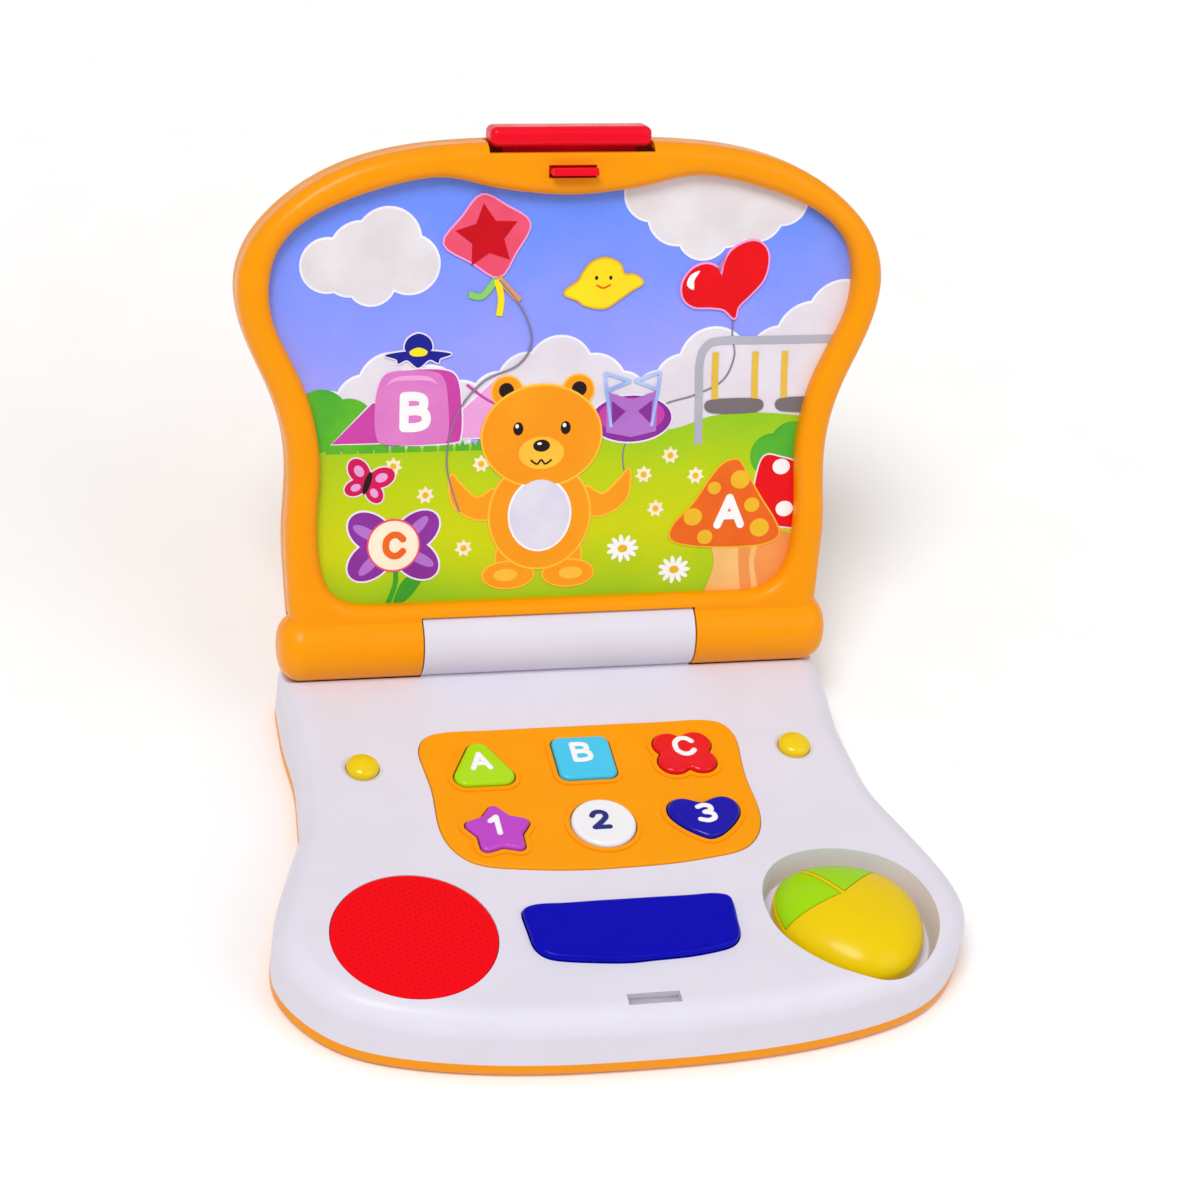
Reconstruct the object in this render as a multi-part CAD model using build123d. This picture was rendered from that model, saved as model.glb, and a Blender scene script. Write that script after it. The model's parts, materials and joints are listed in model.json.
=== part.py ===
from build123d import *
import os
from math import cos, pi, radians, sin, sqrt

# Toy laptop computer, millimetres. +X is the child's right, +Y runs back to the hinge, +Z is up.
# The origin is the centre of the flat underside, and the lid stands open against its stop.

# ---- driving dimensions -----------------------------------------------------------------------
DECK = 28.0              # height of the flat top of the base
SEAM = 6.5               # where the white top shell meets the orange bottom shell
WALL = 2.4               # shell walls
EDGE_ROUND = 9.0         # rounding of the base's top edge
REAR = 98.0              # rear wall of the base
SLACK = 0.25             # gap beside a part that is fixed in an opening
KEY_GAP = 0.5            # gap beside a key that travels

HINGE_Y, HINGE_Z = 85.0, 37.0
OPEN_TILT = 65.5         # the open lid's angle above the horizontal, leaning back
BARREL_R = 13.0          # lid barrels
TROUGH_R = 13.5          # clearance round the barrels and round the centre knuckle
KNUCKLE_R = 12.8
KNUCKLE_HALF = 52.0      # half width of the fixed centre knuckle
BARREL_IN, BARREL_OUT = 52.6, 105.0
PIN_R = 2.5
PIN_GAP = 0.05           # running clearance of the pins in the barrels

LID_FRONT = 8.5          # lid section, measured along the lid's own normal from the hinge axis
LID_BACK = -13.5
LID_SEAM = -2.0
CARD_FRONT = 1.5
CARD_THICK = 1.2

KEY_TOP = 30.8
KEY_COLUMNS = (-38.6, 0.0, 38.2)
KEY_ROWS = (25.2, -8.8)
PANEL_TOP = 28.8
PANEL_PLATE = 26.6       # underside of the key panel's plate
BOARD_Z = 20.0           # underside of the circuit board
BOARD_THICK = 1.2
MEMBRANE_THICK = 0.8

SPEAKER_AT = (-77.3, -56.5)
SPEAKER_R = 29.4
LED_AT = (81.6, 28.2)
LED_R = 6.0

MOUSE_AT = (80.5, -58.5)
MOUSE_TURN = 30.0        # the mouse points this far to the left of straight back
MOUSE_INSET = 4.7        # the mouse keeps this far inside the pocket's rim, seen from above
MOUSE_FOOT, MOUSE_SHOULDER, MOUSE_CROWN = 17.0, 21.5, 33.0
MOUSE_TRAVEL = 1.5
BUTTON_LOW = 23.9        # lower edge of the two mouse buttons
BUTTON_TRAVEL = 0.8
POCKET_FLOOR = 16.5
POCKET_RIM = [(85.6, -90), (96, -87), (104.6, -79.4), (110.6, -67), (111.2, -51), (104.4, -37), (91, -28.6),
              (74, -26.6), (59.5, -31.4), (51.6, -41.6), (49.6, -54), (52, -65.6), (59.4, -76.4), (72, -86.4)]
POCKET_WALL = 2.0

SLOT_BACK, SLOT_FRONT = -89.8, -94.6
SLOT_HALF = 9.4
HOOK_HALF = 8.4
LATCH_STROKE = 1.2

SCREW_AT = [(38, -88), (104, -10), (95, 60)]   # right-hand half of the six case screws
SCREW_R = 1.3

os.makedirs("parts", exist_ok=True)


def save(shape, name):
    export_step(shape, f"parts/{name}.step")


# ---- outlines ---------------------------------------------------------------------------------
def facing_up(face):
    return face if face.normal_at().Z > 0 else -face


def loop_face(half, out=0.0):
    """The face inside a smooth closed curve. half runs anticlockwise on the right, from x = 0 to x = 0.

    With out, every point first moves out by that much, square to the curve.
    """
    points = half + [(-x, y) for x, y in reversed(half[1:-1])]
    return closed_face(points, out)


def closed_face(points, out=0.0):
    curve = Spline(*points, periodic=True)
    if out:
        moved = []
        for x, y in points:
            along = curve.tangent_at(curve.param_at_point((x, y)))
            moved.append((x + out * along.Y, y - out * along.X))
        curve = Spline(*moved, periodic=True)
    return facing_up(Face(Wire([curve])))


def base_outline(out=0.0):
    return loop_face([
        (0, -101.5), (30, -100.9), (56, -98.6), (83, -93.4), (105, -84.4), (118, -71.5), (124.6, -56),
        (123.4, -41), (118.2, -25), (111.6, -8), (106.6, 6), (104.6, 22), (103.2, 42), (104.4, 62), (104.2, 76),
        (103.6, 86), (100.5, 93.5), (94, REAR - 0.7), (84, REAR), (60, REAR), (30, REAR), (0, REAR)], out)


def lid_outline(out=0.0):
    return loop_face([
        (0, -4), (30, -4), (60, -4), (82, -3.8), (92, -2.2), (98, 2.5), (100.6, 9), (101.6, 17), (102.3, 27),
        (103.1, 43), (102.4, 57), (102.2, 70), (104.2, 84), (109, 98), (115, 111), (119.6, 124), (121, 137),
        (117.5, 150), (107.5, 163), (89, 176), (66, 183.8), (48, 186.4), (30, 187.4), (0, 188)], out)


def window_outline(out=0.0):
    return loop_face([
        (0, 15.8), (30, 15.8), (55, 15.8), (70, 15.9), (78.5, 16.8), (85, 20.4), (88.8, 26.5), (90.6, 34),
        (91.5, 45), (91.2, 57), (90.6, 69), (91.8, 81), (95.6, 96), (103, 112), (108.2, 124), (109.6, 136),
        (106.6, 149), (99, 158), (86, 165.4), (68, 171.6), (56, 174.2), (48, 174.9), (40, 174), (30, 171.6),
        (15, 169.2), (0, 168.2)], out)


def panel_outline(out=0.0):
    return loop_face([
        (0, -30.2), (20, -29.6), (38, -27.4), (50.5, -23.6), (57.4, -15), (59.6, -4), (58.9, 12), (60, 27),
        (60, 35), (56.6, 41.4), (50, 43.8), (38, 44), (20, 44), (0, 44)], out)


def space_bar_outline(out=0.0):
    return loop_face([
        (0, -75.2), (16, -74.4), (28, -72.6), (33.5, -70.6), (36.6, -66.5), (37.4, -60), (38, -52),
        (37.4, -48.4), (34.5, -46.8), (26, -46.4), (12, -46.4), (0, -46.4)], out)


def pocket_outline(out=0.0):
    return closed_face(POCKET_RIM, out)


def rounded_polygon(corners, rounding, out):
    sketch = make_face(Polyline(*corners, close=True))
    face = fillet(sketch.vertices(), rounding).face()
    return grown(face, out)


def triangle_key(out=0.0):
    return rounded_polygon([(-14.2, -11.4), (14.2, -11.4), (0, 15.4)], 4.6, out)


def square_key(out=0.0):
    half = 10.8
    return rounded_polygon([(-half, -half), (half, -half), (half, half), (-half, half)], 3.4, out)


def clover_key(out=0.0):
    shape = Rectangle(13, 12)
    for x in (-5.1, 5.1):
        for y in (-4.6, 4.6):
            shape += Pos(x, y) * Circle(5.9)
    return grown(fillet(shape.vertices(), 1.6).face(), out)


def star_key(out=0.0):
    points = []
    for step in range(10):
        reach = 13.6 if step % 2 == 0 else 8.6
        turn = radians(90 + 36 * step)
        points.append((reach * cos(turn), reach * sin(turn) - 0.6))
    return rounded_polygon(points, 2.2, out)


def circle_key(out=0.0):
    return Circle(11.8 + out).face()


def heart_key(out=0.0):
    return loop_face([
        (0, -10.4), (3, -9.4), (7, -6.4), (11.4, -1.6), (13.4, 3.2), (12, 8), (7.6, 10), (3, 8.6), (0, 7.6)], out)


KEYS = {
    "key_a_triangle": (triangle_key, 0, 0),
    "key_b_square": (square_key, 1, 0),
    "key_c_clover": (clover_key, 2, 0),
    "key_1_star": (star_key, 0, 1),
    "key_2_circle": (circle_key, 1, 1),
    "key_3_heart": (heart_key, 2, 1),
}


def key_centre(column, row):
    return KEY_COLUMNS[column], KEY_ROWS[row]


# ---- small helpers ----------------------------------------------------------------------------
def grown(face, out):
    """A face of straight lines and arcs, moved out by an amount."""
    return offset(face, amount=out).face() if out else face


def raised(face, low, high):
    """A prism over a face drawn on the ground plane, from one height to another."""
    return extrude(Pos(0, 0, low) * face, amount=high - low, dir=(0, 0, 1))


def block(x0, x1, y0, y1, z0, z1):
    size = Box(x1 - x0, y1 - y0, z1 - z0)
    return Pos((x0 + x1) / 2, (y0 + y1) / 2, (z0 + z1) / 2) * size


def post(x, y, radius, z0, z1):
    return Pos(x, y, (z0 + z1) / 2) * Cylinder(radius, z1 - z0)


def rod_x(radius, x0, x1, y=0.0, z=0.0):
    """A cylinder along X."""
    return Pos((x0 + x1) / 2, y, z) * Rot(0, 90, 0) * Cylinder(radius, x1 - x0)


def edges_at(shape, z):
    return [e for e in shape.edges() if abs(e.bounding_box().min.Z - z) < 0.01 and e.bounding_box().size.Z < 0.01]


def on_lid(shape):
    """From the lid's own frame, with the hinge axis as its x axis, to where the open lid stands."""
    return Pos(0, HINGE_Y, HINGE_Z) * Rot(OPEN_TILT, 0, 0) * shape


def mouse_place(shape):
    return Pos(MOUSE_AT[0], MOUSE_AT[1], 0) * Rot(0, 0, MOUSE_TURN) * shape


def screw_places():
    return [(side * x, y) for x, y in SCREW_AT for side in (1, -1)]


# ---- base shells ------------------------------------------------------------------------------
def base_top_shell():
    outer = raised(base_outline(), SEAM, DECK)
    outer = fillet(edges_at(outer, DECK), EDGE_ROUND)
    inner = raised(base_outline(-WALL), SEAM, DECK - WALL)
    inner = fillet(edges_at(inner, DECK - WALL), EDGE_ROUND - WALL)
    trough_skin = [rod_x(TROUGH_R + WALL, 52, 110, HINGE_Y, HINGE_Z), rod_x(TROUGH_R + WALL, -110, -52, HINGE_Y, HINGE_Z)]
    cavity = inner - trough_skin - raised(pocket_outline(POCKET_WALL), POCKET_FLOOR - POCKET_WALL, DECK)
    for x, y in screw_places():
        cavity -= post(x, y, 3.4, 10.2, DECK)
    shell = outer + knuckle_solid()
    shell -= cavity
    shell -= knuckle_hollow()
    for side in (1, -1):
        inboard, outboard = sorted((side * KNUCKLE_HALF, side * 110))
        shell -= rod_x(TROUGH_R, inboard, outboard, HINGE_Y, HINGE_Z)
        inboard, outboard = sorted((side * 35, side * 60))
        shell -= rod_x(PIN_R, inboard, outboard, HINGE_Y, HINGE_Z)
        shell -= post(side * LED_AT[0], LED_AT[1], LED_R + SLACK, DECK - 6, DECK + 1)
        shell -= Pos(side * LED_AT[0], LED_AT[1], DECK - 0.4) * Cone(LED_R + SLACK, LED_R + 1.8, 0.8)
    for x, y in screw_places():
        shell -= post(x, y, SCREW_R, 10, 20)
    shell -= raised(panel_outline(), DECK - 6, DECK + 1)
    shell -= raised(space_bar_outline(KEY_GAP), DECK - 6, DECK + 1)
    shell -= post(*SPEAKER_AT, SPEAKER_R, DECK - 6, DECK + 1)
    shell -= block(-SLOT_HALF, SLOT_HALF, SLOT_FRONT, SLOT_BACK, DECK - 6, DECK + 1)
    shell -= pocket_hollow()
    shell -= post(*MOUSE_AT, 6.2, POCKET_FLOOR - 4, POCKET_FLOOR + 1)
    return shell + carriage_rails()


def knuckle_solid():
    """The centre hinge knuckle, which grows out of the deck and meets the rear wall."""
    barrel = rod_x(KNUCKLE_R, -KNUCKLE_HALF, KNUCKLE_HALF, HINGE_Y, HINGE_Z)
    behind = block(-KNUCKLE_HALF, KNUCKLE_HALF, HINGE_Y, HINGE_Y + KNUCKLE_R, SEAM + 4, HINGE_Z)
    under = block(-KNUCKLE_HALF, KNUCKLE_HALF, HINGE_Y - 9, HINGE_Y + 9, DECK - WALL, HINGE_Z)
    return barrel + behind + under


def knuckle_hollow():
    half = KNUCKLE_HALF - WALL
    bore = rod_x(KNUCKLE_R - WALL, -half, half, HINGE_Y, HINGE_Z)
    throat = block(-half, half, HINGE_Y - 7, HINGE_Y + KNUCKLE_R - WALL, DECK - 12, HINGE_Z)
    ribs = [block(x - 1.2, x + 1.2, HINGE_Y - 14, HINGE_Y + 14, HINGE_Z - 6, HINGE_Z + 14) for x in (-38, 38)]
    return bore + throat - ribs


def pocket_hollow():
    """The recess that the mouse stands in: walls leaning out to the rim, over a flat floor."""
    return loft([Pos(0, 0, POCKET_FLOOR) * pocket_outline(-1.8), Pos(0, 0, DECK + 1) * pocket_outline(0.2)])


def carriage_rails():
    """Two rails under the pocket floor that let the mouse carriage slide left and right."""
    rails = []
    for y in (-17.9, 17.9):
        rails.append(Pos(MOUSE_AT[0], MOUSE_AT[1] + y, 13.1) * Box(30, 3, 2.8))
    return rails


BAY = (-30.0, 30.0, -24.0, 24.0)          # battery bay, inside its walls
BAY_TOP = 17.2
BAY_WALL = 1.4
DOOR_THICK = 1.8


def base_bottom_shell():
    outer = raised(base_outline(), 0, SEAM)
    outer = fillet(edges_at(outer, 0), 3.4)
    shell = outer - raised(base_outline(-WALL), WALL, SEAM)
    lip_outer = raised(base_outline(-WALL - 0.2), WALL, SEAM + 2)
    lip_inner = raised(base_outline(-WALL - 1.8), WALL - 1, SEAM + 3)
    lip = lip_outer - lip_inner - block(-12, 12, 90, 99, SEAM, SEAM + 3)
    x0, x1, y0, y1 = BAY
    bay = block(x0 - BAY_WALL, x1 + BAY_WALL, y0 - BAY_WALL, y1 + BAY_WALL, WALL - 1, BAY_TOP + BAY_WALL)
    shell = shell + lip + bay
    shell -= block(x0, x1, y0, y1, DOOR_THICK, BAY_TOP)
    shell -= block(x0 - 1.0, x1 + 1.0, y0 - 1.0, y1 + 1.0, -1, DOOR_THICK)
    shell -= block(x1, x1 + 9, -6, 6, -1, DOOR_THICK)
    shell += post(x1 + 5.4, 0, 4.4, WALL - 1, 10)
    shell -= block(x1 + 1.0, x1 + 9, -6, 6, -1, DOOR_THICK)
    shell -= post(x1 + 5.4, 0, SCREW_R, 1, 9)
    for x, y in screw_places():
        shell += post(x, y, 5.0, WALL - 1, 10)
        shell -= post(x, y, 3.4, -1, 5)
        shell -= post(x, y, 1.7, 4, 11)
    slot_x, slot_y = SWITCH_AT
    shell -= block(slot_x - 2.5, slot_x + SWITCH_TRAVEL + 2.5, slot_y - 2, slot_y + 2, -1, WALL + 1)
    shell -= block(slot_x - 6, slot_x + SWITCH_TRAVEL + 6, slot_y - 4.5, slot_y + 4.5, -1, 1.2)
    return shell


SWITCH_AT = (48.0, 56.0)
SWITCH_TRAVEL = 5.0


def power_switch_slider():
    x, y = SWITCH_AT
    knob = block(x - 2, x + 2, y - 1.6, y + 1.6, 0.3, 3.0)
    wing = block(x - 4, x + 4, y - 3.4, y + 3.4, 2.7, 3.9)
    return knob + wing


def power_switch_body():
    x, y = SWITCH_AT
    middle = x + SWITCH_TRAVEL / 2
    case = block(middle - 9, middle + 9, y - 5, y + 5, WALL, 8)
    return case - block(middle - 7.4, middle + 7.4, y - 3.9, y + 3.9, WALL, 4.4)


# ---- key panel and electronics ----------------------------------------------------------------
def key_panel():
    plate = raised(panel_outline(-SLACK), PANEL_PLATE - 3, PANEL_TOP)
    plate = fillet(edges_at(plate, PANEL_TOP), 0.7)
    plate -= raised(panel_outline(-SLACK - 1.6), PANEL_PLATE - 4, PANEL_PLATE)
    flange = raised(panel_outline(2.4), PANEL_PLATE - 3, DECK - WALL - 0.1)
    flange -= raised(panel_outline(-SLACK - 1.0), PANEL_PLATE - 4, PANEL_PLATE)
    panel = plate + flange
    for draw, column, row in KEYS.values():
        x, y = key_centre(column, row)
        panel += Pos(x, y) * raised(draw(2.2), PANEL_TOP - 0.6, PANEL_TOP + 0.5)
    for draw, column, row in KEYS.values():
        x, y = key_centre(column, row)
        panel -= Pos(x, y) * raised(draw(KEY_GAP), PANEL_PLATE - 4, PANEL_TOP + 2)
    return panel


def key_cap(draw, column, row):
    """A key with its flange under the panel, a hollow underside and the plunger that presses a dome."""
    x, y = key_centre(column, row)
    cap = raised(draw(), 25.4, KEY_TOP)
    cap = fillet(edges_at(cap, KEY_TOP), 1.5)
    flange = raised(draw(1.6), 25.2, 26.4)
    key = cap + flange - post(0, 0, 5.6, 25, 29) + post(0, 0, 2.6, 24.9, 29.4)
    return Pos(x, y) * key


def space_bar():
    cap = raised(space_bar_outline(), 24.4, KEY_TOP - 0.4)
    cap = fillet(edges_at(cap, KEY_TOP - 0.4), 1.6)
    flange = raised(space_bar_outline(1.6), 24.2, 25.4)
    bar = cap + flange - block(-32, 32, -67, -50, 24, 28.4)
    for x in (-16, 16):
        bar += post(x, -60, 2.6, 24.0, 28.6)
    return bar


def circuit_board():
    top = BOARD_Z + BOARD_THICK
    board = block(-88, 88, 16, 41, BOARD_Z, top) + block(-52, 52, -26, 16, BOARD_Z, top)
    return board + block(-26, 26, -70, -26, BOARD_Z, top)


def board_components():
    """Sound chip under its resin blob, and the small parts beside it, on the board's upper face."""
    top = BOARD_Z + BOARD_THICK
    blob = Pos(66, 33, top) * scale(Sphere(5), by=(1, 1, 0.4))
    blob = blob - block(50, 80, 20, 45, top - 5, top)
    parts = [blob]
    for x, y in ((58, 21), (63, 21), (68, 21), (73, 24), (-60, 21), (-64, 21)):
        parts.append(block(x - 1, x + 1, y - 1.8, y + 1.8, top, top + 1))
    parts.append(post(-68, 32, 2.5, top, top + 3.5))
    return Compound(parts)


def dome(x, y, height):
    top = BOARD_Z + BOARD_THICK + MEMBRANE_THICK
    return Pos(x, y, top + height / 2) * Cone(4.2, 2.8, height)


def keypad_membrane():
    low = BOARD_Z + BOARD_THICK
    sheet = block(-50, 50, -24, 40, low, low + MEMBRANE_THICK)
    height = 24.8 - low - MEMBRANE_THICK
    for _, column, row in KEYS.values():
        sheet += dome(*key_centre(column, row), height)
    return sheet


def space_bar_domes():
    low = BOARD_Z + BOARD_THICK
    sheet = block(-24, 24, -68, -52, low, low + MEMBRANE_THICK)
    height = 23.9 - low - MEMBRANE_THICK
    for x in (-16, 16):
        sheet += dome(x, -60, height)
    return sheet


def led_lens(side):
    x, y = side * LED_AT[0], LED_AT[1]
    stem = post(x, y, LED_R, 24.2, DECK + 0.2)
    cap = Pos(x, y, DECK + 0.2) * scale(Sphere(LED_R), by=(1, 1, 0.5))
    flange = post(x, y, LED_R + 1.6, 24.2, DECK - WALL - 0.1)
    return stem + (cap - post(x, y, LED_R + 1, DECK - 6, DECK + 0.2)) + flange - post(x, y, 3.4, 24, 29)


def indicator_leds():
    low = BOARD_Z + BOARD_THICK
    leds = []
    for side in (1, -1):
        x, y = side * LED_AT[0], LED_AT[1]
        body = post(x, y, 2.5, low, 26) + Pos(x, y, 26) * Sphere(2.5) + post(x, y, 2.9, low, low + 1)
        leds.append(body)
    return Compound(leds)


# ---- speaker ----------------------------------------------------------------------------------
def grille_holes():
    places = [(0.0, 0.0)]
    for ring in range(1, 6):
        reach = 4.9 * ring
        for step in range(6 * ring):
            turn = 2 * pi * step / (6 * ring)
            places.append((reach * cos(turn), reach * sin(turn)))
    return places


def speaker_grille():
    """A shallow red dome with sound holes, held by a flange under the deck."""
    rim_r, rise = SPEAKER_R - 0.4, 1.0
    ball_r = (rim_r * rim_r + rise * rise) / (2 * rise)
    crown = DECK + rise
    thick = 1.8
    under = DECK - WALL - 0.2
    inside_r = rim_r - thick
    edge_z = crown - ball_r + sqrt((ball_r - thick) ** 2 - inside_r ** 2)
    section = [
        RadiusArc((0, crown), (rim_r, DECK), ball_r),
        Polyline((rim_r, DECK), (rim_r, under), (SPEAKER_R + 0.8, under), (SPEAKER_R + 0.8, under - 1.3),
                 (inside_r, under - 1.3), (inside_r, edge_z)),
        RadiusArc((inside_r, edge_z), (0, crown - thick), -(ball_r - thick)),
        Line((0, crown - thick), (0, crown)),
    ]
    grille = revolve(Plane.XZ * make_face(section), Axis.Z)
    for x, y in grille_holes():
        grille -= post(x, y, 0.9, 24, 32)
    return Pos(*SPEAKER_AT) * grille


def speaker_frame():
    x, y = SPEAKER_AT
    frame = post(x, y, 26, 22.4, 24.0) + Pos(x, y, 19.4) * Cone(13, 22, 6)
    frame -= Pos(x, y, 19.8) * Cone(12.2, 21.6, 6.2)
    return frame - post(x, y, 22, 22.6, 25) - post(x, y, 12.2, 16, 18)


def speaker_cone():
    x, y = SPEAKER_AT
    cone = Pos(x, y, 20.6) * Cone(8, 21, 4.8) - Pos(x, y, 21.2) * Cone(8, 21, 4.8)
    return cone + Pos(x, y, 18.9) * Cylinder(7.9, 1.4)


def speaker_magnet():
    x, y = SPEAKER_AT
    return post(x, y, 12.0, 11.4, 16.3) + post(x, y, 9, 16.3, 17.2)


# ---- batteries --------------------------------------------------------------------------------
CELL_ROWS = (-15.4, 0.0, 15.4)
CELL_R = 7.15
CELL_Z = 9.6
CELL_HALF = 24.6


def cell_direction(row):
    return 1 if row % 2 == 0 else -1


def batteries():
    cells = []
    for row, y in enumerate(CELL_ROWS):
        side = cell_direction(row)
        can = rod_x(CELL_R, -CELL_HALF, CELL_HALF, y, CELL_Z)
        inboard, outboard = sorted((side * CELL_HALF, side * (CELL_HALF + 1.2)))
        cells.append(can + rod_x(2.7, inboard, outboard, y, CELL_Z))
    return Compound(cells)


def battery_contacts():
    plates = []
    for row, y in enumerate(CELL_ROWS):
        for side in (1, -1):
            inboard, outboard = sorted((side * 29.4, side * 30))
            plate = block(inboard, outboard, y - 5, y + 5, 4.6, 14.6)
            if side == cell_direction(row):
                inboard, outboard = sorted((side * (CELL_HALF + 1.2), side * 29.4))
                plate += rod_x(2.2, inboard, outboard, y, CELL_Z)
            plates.append(plate)
    return Compound(plates)


def coil_spring(length, radius, wire, turns):
    """A coil along +Z from the origin."""
    path = Helix(pitch=(length - 2 * wire) / turns, height=length - 2 * wire, radius=radius)
    profile = Plane(path @ 0, z_dir=path % 0) * Circle(wire)
    return Pos(0, 0, wire) * sweep(profile, path)


def battery_springs():
    springs = []
    for row, y in enumerate(CELL_ROWS):
        side = -cell_direction(row)
        coil = coil_spring(29.4 - CELL_HALF, 3.4, 0.35, 3)
        springs.append(Pos(side * CELL_HALF, y, CELL_Z) * Rot(0, 90 * side, 0) * coil)
    return Compound(springs)


def battery_door():
    x0, x1, y0, y1 = BAY
    door = block(x0 - 0.75, x1 + 0.75, y0 - 0.75, y1 + 0.75, 0, DOOR_THICK)
    door += block(x1, x1 + 8.7, -5.7, 5.7, 0, DOOR_THICK)
    for y in CELL_ROWS:
        saddle = block(-20, 20, y - 3, y + 3, DOOR_THICK, 3.4) - rod_x(CELL_R + 0.05, -21, 21, y, CELL_Z)
        door += saddle
    door -= Pos(x1 + 5.4, 0, 0.5) * Cylinder(2.7, 1.0)
    return door - post(x1 + 5.4, 0, 1.6, -1, 3)


def screw(head_z, tip_z, head_r=2.5):
    """A pan-head screw that points up, its head's underside at head_z."""
    head = post(0, 0, head_r, head_z - 1.2, head_z)
    head -= block(-1.6, 1.6, -0.35, 0.35, head_z - 2, head_z - 0.7) + block(-0.35, 0.35, -1.6, 1.6, head_z - 2, head_z - 0.7)
    return head + post(0, 0, SCREW_R, head_z, tip_z)


def battery_door_screw():
    return Pos(BAY[1] + 5.4, 0) * (post(0, 0, 2.5, 0.1, 1.0) - block(-1.6, 1.6, -0.35, 0.35, 0, 0.6) + post(0, 0, SCREW_R, 1.0, 8.8))


def case_screws():
    return Compound([Pos(x, y) * screw(5.0, 18.5, 3.0) for x, y in screw_places()])


# ---- mouse ------------------------------------------------------------------------------------
def mouse_section(inset, shrink=1.0):
    """The mouse's egg-shaped outline, shrunk toward its middle."""
    x, y = MOUSE_AT
    points = [(x + shrink * (rim_x - x), y + shrink * (rim_y - y)) for rim_x, rim_y in POCKET_RIM]
    return closed_face(points, -shrink * (MOUSE_INSET + inset))


def mouse_dome(inset):
    """The crowned top of the mouse, lofted through shrinking sections above the shoulder."""
    rise = MOUSE_CROWN - MOUSE_SHOULDER - inset
    sections = []
    for step in range(8):
        turn = radians(11.5 * step)
        sections.append(Pos(0, 0, MOUSE_SHOULDER + rise * sin(turn)) * mouse_section(inset, cos(turn)))
    return loft(sections)


def button_zone(side, gap, low):
    """The space of one mouse button: ahead of a slanting rear line and beside the centre strip."""
    near, far = 1.1 - gap, 40
    corners = [(near, 6.5 - gap), (far, 13.5 - gap), (far, 40), (near, 40)]
    zone = raised(make_face(Polyline(*corners, close=True)), low, MOUSE_CROWN + 5)
    return mouse_place(zone if side > 0 else zone.mirror(Plane.YZ))


def mouse_cover():
    shell = mouse_dome(0) - mouse_dome(1.8)
    for side in (1, -1):
        shell -= button_zone(side, 0.35, BUTTON_LOW - BUTTON_TRAVEL - 0.4)
    return shell


def mouse_button(side):
    cap = (mouse_dome(0) - mouse_dome(1.8)) & button_zone(side, 0, BUTTON_LOW)
    peg = mouse_place(post(side * 8, 13, 1.6, BUTTON_LOW + 0.2, 31.0))
    return cap + (peg & mouse_dome(1.0))


def mouse_base():
    """The lower tub of the mouse, with the stem that passes through the pocket floor."""
    x, y = MOUSE_AT
    tub = raised(mouse_section(0), MOUSE_FOOT, MOUSE_SHOULDER)
    tub -= raised(mouse_section(1.8), MOUSE_FOOT + 1.6, MOUSE_SHOULDER + 1)
    tub += post(x, y, 3.0, 11.4, MOUSE_FOOT + 1.6) + post(x, y, 2.2, 9.4, 11.4)
    return tub - post(x, y, 1.0, 8, 15)


def mouse_switch_board():
    low = MOUSE_FOOT + 1.8
    board = block(-13, 13, 8, 18, low, low + 1)
    for x in (-8, 8):
        board += block(x - 3, x + 3, 10, 16, low + 1, low + 3.4)
        board += post(x, 13, 1.4, low + 3.4, low + 4.4)
    return mouse_place(board)


def mouse_carriage():
    """The plate that carries the mouse: it slides left and right, and the stem slides in its slot."""
    plate = block(-13, 13, -16, 16, 12.1, 14.0)
    slot = block(-3.05, 3.05, -3.0 - MOUSE_TRAVEL - 0.3, 3.0 + MOUSE_TRAVEL + 0.3, 11, 15)
    return Pos(MOUSE_AT[0], MOUSE_AT[1]) * (plate - slot)


def mouse_retainer():
    washer = post(0, 0, 8, 9.6, 11.3) - post(0, 0, 2.25, 9, 12)
    return Pos(MOUSE_AT[0], MOUSE_AT[1]) * washer


def mouse_screw():
    return Pos(MOUSE_AT[0], MOUSE_AT[1]) * (post(0, 0, 3.2, 8.2, 9.4) - block(-2, 2, -0.35, 0.35, 8, 8.7) + post(0, 0, 1.0, 9.4, 14.5))


# ---- hinge ------------------------------------------------------------------------------------
def hinge_pins():
    return Compound([rod_x(PIN_R, 37.0, 78.5, HINGE_Y, HINGE_Z), rod_x(PIN_R, -78.5, -37.0, HINGE_Y, HINGE_Z)])


# ---- lid, drawn in its own frame: x along the hinge, y up the lid, z out of the picture ---------
LID_SCREW_AT = [(97, 40), (115.4, 131), (66, 176.2)]


def barrels():
    shapes = []
    for side in (1, -1):
        barrel = rod_x(BARREL_R, BARREL_IN, BARREL_OUT)
        end = [e for e in barrel.edges() if e.center().X > BARREL_OUT - 0.1]
        barrel = fillet(end, 8.5)
        shapes.append(barrel if side > 0 else barrel.mirror(Plane.YZ))
    return shapes


def barrel_hollows():
    shapes = []
    for side in (1, -1):
        hollow = rod_x(BARREL_R - WALL, BARREL_IN + 3, 97) - block(73, 76, -20, 20, -20, 20)
        hollow += block(BARREL_IN + 3, 73, 0, 13, LID_SEAM, LID_FRONT - WALL)
        shapes.append(hollow if side > 0 else hollow.mirror(Plane.YZ))
    return shapes


def knuckle_room():
    half = BARREL_IN
    return rod_x(TROUGH_R, -half, half) + block(-half, half, -20, 3, -20, 20) + block(-half, half, 0, 11.3, 0, 20)


def knuckle_room_wall():
    return rod_x(TROUGH_R + 1.8, -BARREL_IN - 1.8, BARREL_IN + 1.8)


def lid_screw_places():
    return [(side * x, y) for x, y in LID_SCREW_AT for side in (1, -1)]


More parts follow.
